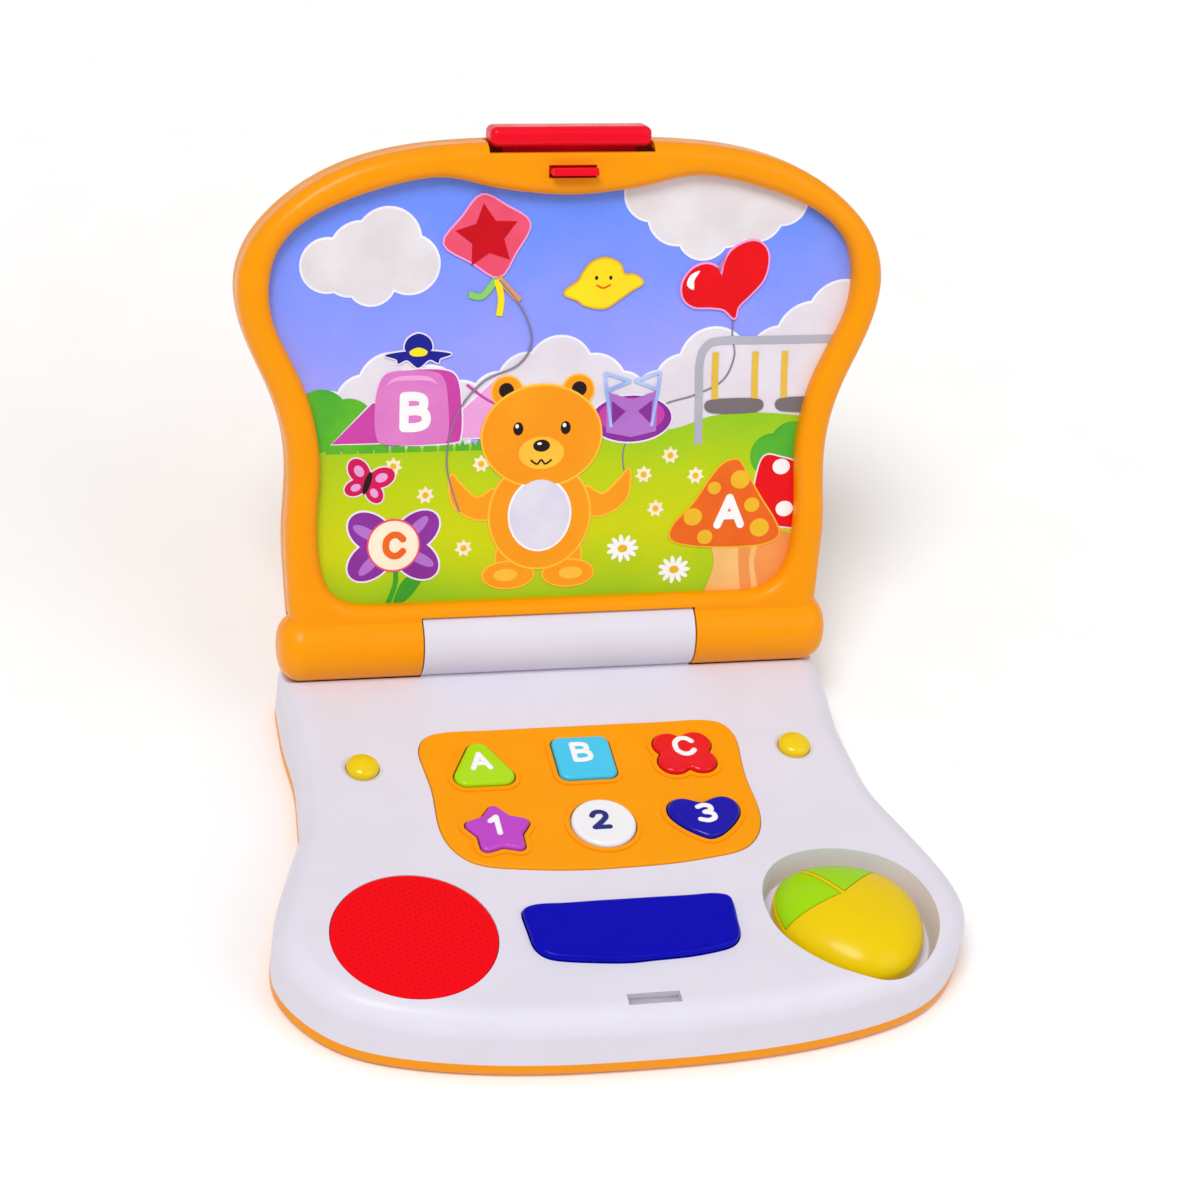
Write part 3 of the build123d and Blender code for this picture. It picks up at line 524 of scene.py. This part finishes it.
def draw_ground():
    ground = Print("picture_ground")
    left_bush = [(-98, 84, 11), (-90, 87, 9.5), (-80, 84, 9), (-72, 81, 8), (-94, 74, 10)]
    puffs(ground, left_bush, "bush", "grass_dark", 5)
    top = line_through([(-125, 75), (-92, 74), (-60, 74.5), (-20, 76), (15, 77), (42, 79), (60, 84),
                        (84, 84), (125, 78)])
    ground.add(top + [(125, -10), (-125, -10)], "grass", 7)
    tuft = [(-2, 73.2), (-1.4, 76.6), (-0.2, 75), (1, 77.2), (1.8, 75), (3, 76), (3.4, 73.2)]
    for x in range(-86, -20, 6):
        ground.add([(x + aside, height) for aside, height in tuft], "grass_dark", 8)
    puffs(ground, [(82, 68, 7.5), (90, 72, 8), (98, 66, 9)], "bush", "grass_dark", 8)
    ground.finish()


def draw_daisies():
    flowers = Print("picture_daisies")
    small = [(-50.8, 56.7), (-63, 68), (-30, 68), (-36, 35.9), (32.3, 62), (37.4, 48.7), (52.5, 61),
             (42.4, 69.1)]
    for spot in small:
        flowers.add(star(spot, 3.5, 2.2, 7), "cream", 9)
        flowers.add(oval(spot, 1.2, count=16), "gold", 10)
    for spot in ((25.1, 33.6), (45.5, 24.6)):
        for petal in range(11):
            angle = 2 * math.pi * petal / 11
            middle = (spot[0] + 3.8 * math.cos(angle), spot[1] + 3.0 * math.sin(angle))
            flowers.add(oval(middle, 2.5, 0.9, math.degrees(angle), 18), "white", 9)
        flowers.add(oval(spot, 1.9, 1.5, count=20), "gold", 10)
    flowers.finish()


def draw_slide():
    slide = Print("picture_slide")
    slide.bordered([(-86, 77), (-71, 92), (-60, 91), (-60, 77)], "magenta", 9, 0.6)
    chute = [(-38, 88), (-24, 101), (-16, 98), (-18, 84), (-30, 78), (-40, 78)]
    slide.bordered(chute, "pink_light", 8, 0.6)
    slide.add(stroke([(-36, 98), (-26, 91), (-14, 89)], 1.0), "magenta", 9.5)
    block = rounded([(-69.4, 79), (-70.2, 90), (-68, 100.4), (-63, 103.6), (-50, 103.6), (-44.6, 100.4),
                     (-42.8, 90), (-42.8, 79), (-46, 76.2), (-65, 76.2)])
    slide.bordered(moved(block, 4.8, 0.2), "magenta", 10, 0.6)
    slide.add(block, "pink", 12)
    shine = rounded([(-66, 98.4), (-62, 101.6), (-51, 101.6), (-47, 98.4), (-51, 100), (-62, 100)])
    slide.add(shine, "pink_light", 13)
    slide.write("B", (-55.4, 88.4), 15.0, 3.4, "white", 14)
    slide.finish()


def draw_small_birds():
    birds = Print("picture_birds")
    x, y, size = -54.4, 110.6, 0.82
    wing = rounded([(0, 0), (-6, 0.5), (-15, -1), (-10, -3), (-9, -5), (-5, -3.5), (0, -7), (5, -3.5),
                    (9, -5), (10, -3), (15, -1), (6, 0.5)])
    birds.bordered(moved(wing, x, y, 0, size), "navy", 14, 0.5)
    head = rounded([(-6, 1), (-5, 6), (0, 8.5), (5, 6), (6, 1), (0, -1.5)])
    birds.bordered(moved(head, x, y, 0, size), "navy", 14, 0.5)
    beak = rounded([(-4, 0.5), (0, 2.2), (4, 0.5), (2.6, -1.6), (-2.6, -1.6)])
    birds.add(moved(beak, x, y, 0, size), "yellow", 16)
    chick = rounded([(-14, -1.5), (-9, 2.6), (-7, 6), (-4, 9.5), (1, 11), (6, 9), (8, 5), (12, 4.6),
                     (15, 2), (11, -0.6), (7, -3.4), (1, -7), (-6, -6), (-9, -4)])
    birds.bordered(moved(chick, 14, 133), "yellow", 14, 0.7, "gold")
    for side in (-2.4, 3.0):
        birds.add(oval((14 + side, 137), 0.6, 0.8, count=12), "dark", 16)
    birds.add(stroke([(11.6, 134.4), (14.2, 133.2), (17, 134.4)], 0.7), "orange", 16)
    birds.finish()


def draw_kite():
    kite = Print("picture_kite")
    sail = rounded([(-32, 168), (-23, 164), (-14, 157.5), (-19, 147), (-25, 138), (-35, 143.5),
                    (-45.6, 150.4), (-39, 160)], 4)
    kite.bordered(sail, "pink_red", 12, 0.7, "pink_light")
    kite.add(star((-29.6, 153), 12.2, 6.3, 5, 98), "deep_red", 14)
    tails = {"tan": [(-25.4, 138), (-22, 134), (-17, 129)], "mint": [(-26, 137), (-31, 131), (-36, 131.6)],
             "yellow": [(-25.6, 137), (-24, 130), (-24.6, 123.5)]}
    for ink, points in tails.items():
        kite.add(stroke(points, 2.4), ink, 13)
    string = [(-25, 137), (-16, 126), (-12, 114), (-17, 105), (-30, 99), (-40, 86), (-43, 68), (-38, 50)]
    kite.add(stroke(string, STRING_WIDTH), "string", 15)
    kite.finish()


def draw_balloon():
    balloon = Print("picture_balloon")
    middle = (60.7, 135)
    heart = rounded([(-1.3, 2.4), (-3.6, 5.4), (-8, 6.5), (-13, 4.3), (-16.2, -0.8), (-15.6, -6.2),
                     (-11.6, -9.4), (-5.1, -9.8), (0.1, -10.7), (4.2, -14), (5.6, -9.6), (9.8, -5.4),
                     (14.6, 0), (16.4, 6.2), (15.6, 11.6), (11.8, 14.7), (6.9, 14.2), (1.8, 11), (-0.6, 6.2)])
    string = [(64.8, 122), (64.6, 114), (65.7, 106.4), (61.6, 97.3), (51, 92), (38, 88), (27, 78), (24, 70),
              (25.4, 60)]
    shine = rounded([(-13.4, 2.4), (-9.8, 4), (-11.8, 0.6), (-12, -3), (-14.6, -1.2)])
    balloon.add(stroke(string, STRING_WIDTH), "string", 8.4)
    balloon.bordered(moved(heart, *middle), "red", 16, 0.7, "pink_light")
    balloon.add(moved(shine, *middle), "white", 18)
    balloon.finish()


def draw_bowl():
    bowl = Print("picture_bowl")
    across = 26.8
    bowl.bordered(oval((across, 83.6), 15.4, 8.8), "purple", 9, 0.7)
    bowl.add(oval((across, 84.8), 12.8, 6.8), "magenta", 11)
    gift = [(-9.6, 78.6), (-10, 94), (0, 91), (10, 94), (9.6, 78.6), (0, 76.6)]
    bowl.add([(across + aside, height) for aside, height in gift], "lilac", 12)
    for side in (-1, 1):
        loop = [(across + side * 0.8, 98), (across + side * 10.6, 101.2), (across + side * 9.8, 94.4)]
        for start, end in zip(loop, loop[1:] + loop[:1]):
            bowl.add(stroke([start, end], 1.2, 2), "ribbon", 14)
        bowl.add(stroke([(across + side * 9.8, 94.4), (across + side * 7.8, 80.6)], 1.2, 2), "ribbon", 14)
        fold = [(2.4, 86.5), (7.8, 90.6), (7.4, 81.6)]
        bowl.add([(across + side * aside, height) for aside, height in fold], "purple", 13)
    bowl.finish()


def draw_swing():
    swing = Print("picture_swing")
    pole = [(53, 73), (52.6, 92), (52.4, 104), (54.4, 110), (60, 112.4), (80, 112.4), (108, 112.4)]
    swing.add(stroke(pole, 3.0), "grey", 9)
    for x in (58.5, 74, 85.5):
        swing.add(stroke([(x, 108), (x, 98), (x + 0.4, 89)], 2.4, 5), "rope", 10)
    for middle in (66.4, 94):
        seat = [(-10.5, 89.5), (-9, 85), (9, 85), (10.5, 89.5), (0, 90.4)]
        swing.add(rounded([(middle + aside, height) for aside, height in seat]), "slate", 11)
    swing.finish()


def draw_butterfly():
    wings = Print("picture_butterfly")
    for turn in (38, 142, 218, -38):
        reach = 5.6 if turn in (38, 142) else 4.6
        angle = math.radians(turn - 18)
        middle = (-72.6 + reach * math.cos(angle), 62 + reach * math.sin(angle))
        wings.bordered(oval(middle, reach * 0.92, reach * 0.66, turn - 18), "rose", 10, 0.5)
        wings.add(oval(middle, reach * 0.42, reach * 0.3, turn - 18, 20), "pink_light", 12)
    wings.add(oval((-72.6, 62), 1.2, 4.4, -18, 24), "dark", 13)
    wings.finish()


def draw_big_flower():
    flower = Print("picture_flower")
    flower.add(stroke([(-62.4, 36), (-61.5, 24), (-65, 14)], 1.8), "leaf", 9)
    flower.add(rounded([(-62, 15), (-56, 18), (-50, 27), (-51, 29), (-58, 25), (-61, 20)]), "leaf", 10)
    for turn in (38, 142, 218, 322):
        angle = math.radians(turn)
        middle = (-62.5 + 10.8 * math.cos(angle), 37.8 + 8.6 * math.sin(angle))
        flower.bordered(oval(middle, 9.6, 6.6, turn), "purple", 10, 0.7)
        inner = (-62.5 + 12.2 * math.cos(angle + 0.1), 37.8 + 9.8 * math.sin(angle + 0.1))
        flower.add(oval(inner, 5.6, 2.0, turn + 8, 24), "lilac", 12)
    flower.bordered(oval((-62.5, 38), 9.4), "cream", 13, 0.7, "pink_red")
    flower.write("C", (-62.2, 38), 10.8, 2.6, "orange", 15)
    flower.finish()


def draw_toadstools():
    stools = Print("picture_toadstools")
    stools.add(rounded([(74, 36), (77, 12), (95, 8), (92, 36)]), "stalk_shade", 9)
    cap = rounded([(78, 66), (86, 67), (96, 62), (104, 48), (100, 40), (88, 40), (76, 44)])
    stools.bordered(cap, "red", 10, 0.6)
    for spot in ((86, 63.5), (95, 52), (88, 47)):
        stools.add(oval(spot, 3.4, 3.0), "white", 12)
    stalk = rounded([(60, 40), (61, 26), (57, 11), (66, 9.5), (79, 10), (77, 26), (78, 40)])
    stools.add(stalk, "stalk", 12)
    stools.add(rounded([(71, 38), (71, 24), (73, 11), (77, 11), (75, 26), (76, 38)]), "stalk_shade", 13)
    hat = rounded([(64.5, 66), (60, 62), (52, 50), (44.6, 42), (44, 36.6), (52, 34), (66, 33), (80, 33.6),
                   (86, 37), (84, 43), (78, 52), (72, 62), (69, 66.4)])
    stools.bordered(hat, "orange", 14, 0.6, "gold")
    spots = ((70, 59, 3.8), (52, 45, 3.6), (78.4, 40, 3.8), (57, 37, 3.0), (75, 49, 3.0), (60, 56, 2.6))
    for x, y, reach in spots:
        stools.add(oval((x, y), reach, reach * 0.94), "gold", 16)
    stools.write("A", (66.2, 46.8), 13.5, 3.0, "white", 18)
    stools.finish()


def draw_teddy():
    """A plain teddy bear."""
    bear = Print("picture_teddy")
    middle = -7.4
    raised_arm = [(17, 58), (24, 55), (30, 60), (34, 64), (33, 53), (24, 47), (16, 49)]
    for side in (-1, 1):
        bear.bordered(oval((middle + side * 13.5, 95), 5.6), "teddy", 12, 0.6, "teddy_light")
        bear.add(oval((middle + side * 13.8, 95.6), 2.8, count=24), "dark", 15)
        arm = rounded([(middle + side * aside, height) for aside, height in raised_arm])
        bear.bordered(arm, "teddy", 12, 0.7, "teddy_light")
        bear.bordered(oval((middle + side * 9.5, 32), 6.6, 8.4), "teddy", 12, 0.7, "teddy_light")
        bear.bordered(oval((middle + side * 11.5, 25), 9.6, 5.0), "teddy", 13, 0.6, "teddy_light")
        bear.add(oval((middle + side * 12.5, 25), 4.6, 2.4, count=24), "teddy_light", 16)
    bear.bordered(oval((middle, 48), 19, 20.5), "teddy", 14, 0.8, "teddy_light")
    bear.bordered(oval((middle, 78), 22.4, 19), "teddy", 16, 0.8, "teddy_light")
    bear.bordered(oval((middle, 48), 11.4, 13.4), "belly", 16, 0.8, "white")
    bear.add(oval((middle, 71.6), 8.6, 6.2), "teddy_light", 18)
    bear.add(oval((middle, 74.4), 3.2, 2.3, count=24), "dark", 19)
    bear.add(oval((middle - 0.8, 75.2), 0.9, 0.5, count=16), "white", 20)
    smile = ((-4, 69), (-1.6, 67.4), (0, 69), (1.6, 67.4), (4, 69))
    mouth = [(middle + aside, height) for aside, height in smile]
    bear.add(stroke(mouth, 0.7, 5), "dark", 19)
    for side in (-1, 1):
        bear.add(oval((middle + side * 9, 81), 1.9, 2.5, count=24), "dark", 18)
        bear.add(oval((middle + side * 9 - 0.5, 82), 0.7, 0.8, count=16), "white", 19)
    bear.finish()


def draw_picture():
    for draw in (draw_sky, draw_ground, draw_daisies, draw_slide, draw_small_birds, draw_kite, draw_balloon,
                 draw_bowl, draw_swing, draw_butterfly, draw_big_flower, draw_toadstools, draw_teddy):
        draw()


# ---- letters and figures --------------------------------------------------------------------------
PEN_STROKES = {   # each stroke in a box one unit high
    "A": [[(0.02, 0), (0.45, 1)], [(0.45, 1), (0.88, 0)], [(0.2, 0.34), (0.7, 0.34)]],
    "B": [[(0.06, 0), (0.06, 1)],
          [(0.06, 1), (0.42, 1), (0.66, 0.9), (0.66, 0.64), (0.42, 0.54), (0.06, 0.54)],
          [(0.06, 0.54), (0.46, 0.54), (0.74, 0.42), (0.74, 0.12), (0.46, 0), (0.06, 0)]],
    "C": [[(0.82, 0.78), (0.62, 0.96), (0.34, 0.98), (0.1, 0.78), (0.04, 0.5), (0.1, 0.22), (0.34, 0.02),
           (0.62, 0.04), (0.82, 0.22)]],
    "1": [[(0.12, 0.76), (0.42, 1)], [(0.42, 1), (0.42, 0)]],
    "2": [[(0.04, 0.76), (0.18, 0.95), (0.42, 1), (0.66, 0.88), (0.68, 0.66), (0.5, 0.42), (0.04, 0)],
          [(0.04, 0), (0.74, 0)]],
    "3": [[(0.06, 0.9), (0.34, 1), (0.62, 0.9), (0.62, 0.66), (0.32, 0.54)],
          [(0.32, 0.54), (0.66, 0.44), (0.7, 0.16), (0.38, 0), (0.02, 0.1)]],
}
LETTER_FLATNESS = 0.42   # a raised letter's thickness against its pen's
LETTER_VOXEL = 0.16


def pen_strokes(text, centre, height):
    """The letter's strokes, centred on a place."""
    across = [x for line in PEN_STROKES[text] for x, y in line]
    middle = (min(across) + max(across)) / 2
    return [[(centre[0] + (x - middle) * height, centre[1] + (y - 0.5) * height) for x, y in line]
            for line in PEN_STROKES[text]]


def raised_letter(name, text, height, pen, place, material, body):
    """A soft-edged moulded letter: beads along the pen strokes, melted into one skin."""
    beads = bmesh.new()
    flatter = Matrix.Diagonal((1, 1, LETTER_FLATNESS, 1))
    for line in pen_strokes(text, (0, 0), height - pen):
        for x, y in line_through(line, 14):
            spot = Matrix.Translation((x * MM, y * MM, 0)) @ flatter
            bmesh.ops.create_icosphere(beads, subdivisions=2, radius=pen / 2 * MM, matrix=spot)
    mesh = bpy.data.meshes.new(name + "_beads")
    beads.to_mesh(mesh)
    beads.free()
    rough = bpy.data.objects.new(name + "_beads", mesh)
    bpy.context.scene.collection.objects.link(rough)
    melt = rough.modifiers.new("melt", "REMESH")
    melt.mode = "VOXEL"
    melt.voxel_size = LETTER_VOXEL * MM
    soften = rough.modifiers.new("soften", "SMOOTH")
    soften.factor = 0.5
    soften.iterations = 4
    bpy.context.view_layer.update()
    skin = bpy.data.meshes.new_from_object(rough.evaluated_get(bpy.context.evaluated_depsgraph_get()))
    bpy.data.objects.remove(rough)
    skin.name = name
    skin.transform(place)
    skin.shade_smooth()
    skin.materials.clear()
    skin.materials.append(material)
    return place_piece(name, skin, body)


# ---- keys, and the silicone under them --------------------------------------------------------------
SHEET_THICK = 0.8
DOME_FOOT, DOME_TOP = 4.2, 2.8   # radii
LEGEND_PEN = 2.3
KEY_COLUMNS = (-38.6, 0.0, 38.2)
KEY_ROWS = (25.2, -8.8)
KEY_LEGENDS = [   # letter, node, body, column, row, place on the key, height
    ("A", "key_a_triangle", "key_a", 0, 0, (-0.4, 0.2), 9.6),
    ("B", "key_b_square", "key_b", 1, 0, (-0.8, 2.2), 10.6),
    ("C", "key_c_clover", "key_c", 2, 0, (0.2, 2.5), 10.8),
    ("1", "key_1_star", "key_1", 0, 1, (-1.4, 1.0), 10.4),
    ("2", "key_2_circle", "key_2", 1, 1, (-1.2, 0.8), 10.0),
    ("3", "key_3_heart", "key_3", 2, 1, (0.1, 1.2), 10.2),
]


def key_legends():
    for text, node, body, column, row, (aside, back), size in KEY_LEGENDS:
        x, y = KEY_COLUMNS[column] + aside, KEY_ROWS[row] + back
        place = Matrix.Translation((x * MM, y * MM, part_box(node)[1].z))
        ink = LEGEND_BLUE if text == "2" else LEGEND_WHITE
        raised_letter("legend_" + text, text, size, LEGEND_PEN, place, ink, body)


def keypad_domes():
    """The silicone sheet under the keys, with a dome under each key."""
    low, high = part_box("keypad_membrane")
    sheet_top = low.z + SHEET_THICK * MM
    middle = Vector(((low.x + high.x) / 2, (low.y + high.y) / 2, (low.z + sheet_top) / 2))
    extent = Matrix.Diagonal((high.x - low.x, high.y - low.y, sheet_top - low.z, 1))
    sheet = bmesh.new()
    bmesh.ops.create_cube(sheet, size=1, matrix=Matrix.Translation(middle) @ extent)
    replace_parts(soft_part("keypad_sheet", sheet), "keypad_membrane")
    height = high.z - sheet_top
    for text, _, body, column, row, _, _ in KEY_LEGENDS:
        foot = Vector((KEY_COLUMNS[column] * MM, KEY_ROWS[row] * MM, sheet_top))
        place = Matrix.Translation(foot + Vector((0, 0, height / 2)))
        cone = bmesh.new()
        bmesh.ops.create_cone(cone, cap_ends=True, segments=40, radius1=DOME_FOOT * MM,
                              radius2=DOME_TOP * MM, depth=height, matrix=place)
        dome = soft_part("dome_" + text, cone)
        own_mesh(dome)


def soft_part(name, shapes):
    mesh = bpy.data.meshes.new(name)
    shapes.to_mesh(mesh)
    shapes.free()
    smooth_shade(mesh)
    mesh.materials.append(FINISHES["silicone"])
    return place_piece(name, mesh, "base")


# ---- speaker ----------------------------------------------------------------------------------------
def speaker_disc():
    """The red speaker cover: a shallow dome with fine rows of dimples, on a skirt that enters the deck. Its
    material paints shade into the dimples.
    """
    low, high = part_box("speaker_grille")
    middle = (low + high) / 2
    reach = 29.0
    rise, dimple_pitch, dimple_depth = 1.0, 2.05, 0.3
    slant, column_gap = 0.577, 1.155   # the dimples stand in a triangular grid
    plain_rim, fade = 1.6, 1.2
    rings, sectors = 78, 336
    disc = bmesh.new()
    # How deep each vertex lies in a dimple is kept per vertex, and the grille's material paints shade by it.
    depth = disc.verts.layers.float.new("dimple")

    def spot(radius, angle):
        x, y = radius * math.cos(angle), radius * math.sin(angle)
        row = x / dimple_pitch
        column = (y - x * slant) / (dimple_pitch * column_gap)
        wave = sum(math.cos(2 * math.pi * phase) for phase in (row, column, row + column)) / 3
        shaded_hollow = max(0.0, wave) ** 1.4
        shaded_hollow *= min(1.0, max(0.0, (reach - plain_rim - radius) / fade))
        z = rise * (1 - (radius / reach) ** 2) - dimple_depth * shaded_hollow
        vertex = disc.verts.new((middle.x + x * MM, middle.y + y * MM, high.z + (z - rise) * MM))
        vertex[depth] = shaded_hollow
        return vertex

    loops = [[spot(reach * ring / rings, 2 * math.pi * sector / sectors) for sector in range(sectors)]
             for ring in range(1, rings + 1)]
    crown = spot(0.0, 0.0)
    rim = []
    for drop, out in ((0.25, 0.14), (0.8, 0.2), (3.2, 0.2)):
        ring = []
        for sector in range(sectors):
            angle = 2 * math.pi * sector / sectors
            radius = reach + out
            x, y = radius * math.cos(angle) * MM, radius * math.sin(angle) * MM
            place = (middle.x + x, middle.y + y, high.z - (rise + drop) * MM)
            ring.append(disc.verts.new(place))
        rim.append(ring)
    loops += rim
    for sector in range(sectors):
        after = (sector + 1) % sectors
        disc.faces.new((crown, loops[0][sector], loops[0][after]))
        for inner, outer in zip(loops, loops[1:]):
            disc.faces.new((inner[sector], outer[sector], outer[after], inner[after]))
    disc.faces.new(loops[-1][::-1])
    bmesh.ops.recalc_face_normals(disc, faces=disc.faces)
    mesh = bpy.data.meshes.new("speaker_disc")
    disc.to_mesh(mesh)
    disc.free()
    smooth_shade(mesh, 50)
    mesh.materials.append(red_with_painted_dimple_shade())
    piece = place_piece("speaker_disc", mesh, "base")
    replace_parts(piece, "speaker_grille")


def red_with_painted_dimple_shade():
    material, tree, shader = new_material("grille_dimples_painted_shade")
    attribute = tree.nodes.new("ShaderNodeAttribute")
    attribute.attribute_name = "dimple"
    # Painted shade: the red runs darker from the ridges down into the dimples, standing in for the shade that
    # falls in the hollows.
    ridge, shaded_slope, shaded_hollow = linear((242, 0, 18)), linear((232, 0, 14)), linear((196, 0, 10))
    tones = ramp(tree, attribute.outputs["Fac"], [(0.0, ridge), (0.5, shaded_slope), (1.0, shaded_hollow)])
    tree.links.new(tones, shader.inputs["Base Color"])
    tree.links.new(spread(tree, noise(tree, 400, 4), 0.4, 0.55), shader.inputs["Roughness"])
    shader.inputs["Specular IOR Level"].default_value = 0.1
    bump(tree, shader, noise(tree, 1400, 3), 0.02)
    return material


def latch_catch():
    """The white cup under the latch slot, which the hook drops into when the lid is shut."""
    half, front, back, floor, rim, thick = 9.9, -95.1, -89.3, 21.6, 25.58, 0.7
    levels = ((thick, floor - thick), (thick, rim), (0.0, rim), (0.0, floor))
    cup = bmesh.new()
    loops = []
    for out, z in levels:
        side, near, far = half + out, front - out, back + out
        corners = ((-side, near), (side, near), (side, far), (-side, far))
        loops.append([cup.verts.new((x * MM, y * MM, z * MM)) for x, y in corners])
    for lower, upper in zip(loops, loops[1:]):
        for i in range(4):
            cup.faces.new((lower[i - 1], lower[i], upper[i], upper[i - 1]))
    cup.faces.new(loops[0])
    cup.faces.new(loops[-1])
    bmesh.ops.recalc_face_normals(cup, faces=cup.faces)
    mesh = bpy.data.meshes.new("latch_catch")
    cup.to_mesh(mesh)
    cup.free()
    mesh.materials.append(FINISHES["white_shell"])
    place_piece("latch_catch", mesh, "base")


def let_springs_give():
    """Gives the latch springs and the space bar's domes a mesh of their own."""
    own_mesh(nodes["latch_springs"])
    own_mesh(nodes["space_bar_domes"])


# ---- studio -----------------------------------------------------------------------------------------
def studio():
    world = bpy.data.worlds.new("studio")
    bpy.context.scene.world = world
    world.use_nodes = True
    background = world.node_tree.nodes["Background"]
    background.inputs["Color"].default_value = (1.0, 1.0, 1.0, 1.0)
    background.inputs["Strength"].default_value = 0.46
    bpy.context.scene.view_settings.view_transform = "Standard"

    mesh = bpy.data.meshes.new("floor")
    reach, drop = 6.0, -0.0002
    corners = [(-reach, -reach, drop), (reach, -reach, drop), (reach, reach, drop), (-reach, reach, drop)]
    mesh.from_pydata(corners, [], [(0, 1, 2, 3)])
    floor = bpy.data.objects.new("floor", mesh)
    bpy.context.scene.collection.objects.link(floor)
    material, tree, shader = new_material("floor_paper")
    shades = [(0.3, (0.965, 0.965, 0.965, 1)), (0.7, (0.98, 0.98, 0.98, 1))]
    tree.links.new(ramp(tree, noise(tree, 30, 3), shades), shader.inputs["Base Color"])
    shader.inputs["Roughness"].default_value = 0.9
    shader.inputs["Specular IOR Level"].default_value = 0.1
    mesh.materials.append(material)

    suns = (("key_sun", (0.3, 0.34, -0.9), 1.72, 24), ("fill_sun", (-0.6, 0.5, -0.7), 0.42, 40))
    for name, toward, strength, width in suns:
        light = bpy.data.lights.new(name, "SUN")
        light.angle = math.radians(width)
        light.energy = strength
        holder = bpy.data.objects.new(name, light)
        holder.rotation_euler = Vector(toward).to_track_quat("-Z", "Y").to_euler()
        bpy.context.scene.collection.objects.link(holder)


CAMERA_PLACE = (-0.2990, -0.8508, 0.8763)
CAMERA_AIM = (18.59, 39.8, 9.83)   # turned from straight back, tilted down and rolled, in degrees
CAMERA_LENS = 102.72


def camera():
    """The photograph's viewpoint."""
    azimuth, elevation, roll = (math.radians(value) for value in CAMERA_AIM)
    flat = math.cos(elevation)
    ahead = Vector((math.sin(azimuth) * flat, math.cos(azimuth) * flat, -math.sin(elevation)))
    level = Vector((math.cos(azimuth), -math.sin(azimuth), 0))
    upright = level.cross(ahead)
    right = level * math.cos(roll) + upright * math.sin(roll)
    up = upright * math.cos(roll) - level * math.sin(roll)
    data = bpy.data.cameras.new("camera")
    data.sensor_width = 36.0
    data.lens = CAMERA_LENS
    data.clip_start, data.clip_end = 0.05, 30.0
    holder = bpy.data.objects.new("camera", data)
    turned = Matrix((right, up, -ahead)).transposed()
    holder.matrix_world = Matrix.Translation(CAMERA_PLACE) @ turned.to_4x4()
    bpy.context.scene.collection.objects.link(holder)
    bpy.context.scene.camera = holder


dress_cad_nodes()
draw_picture()
key_legends()
keypad_domes()
speaker_disc()
latch_catch()
let_springs_give()
studio()
camera()
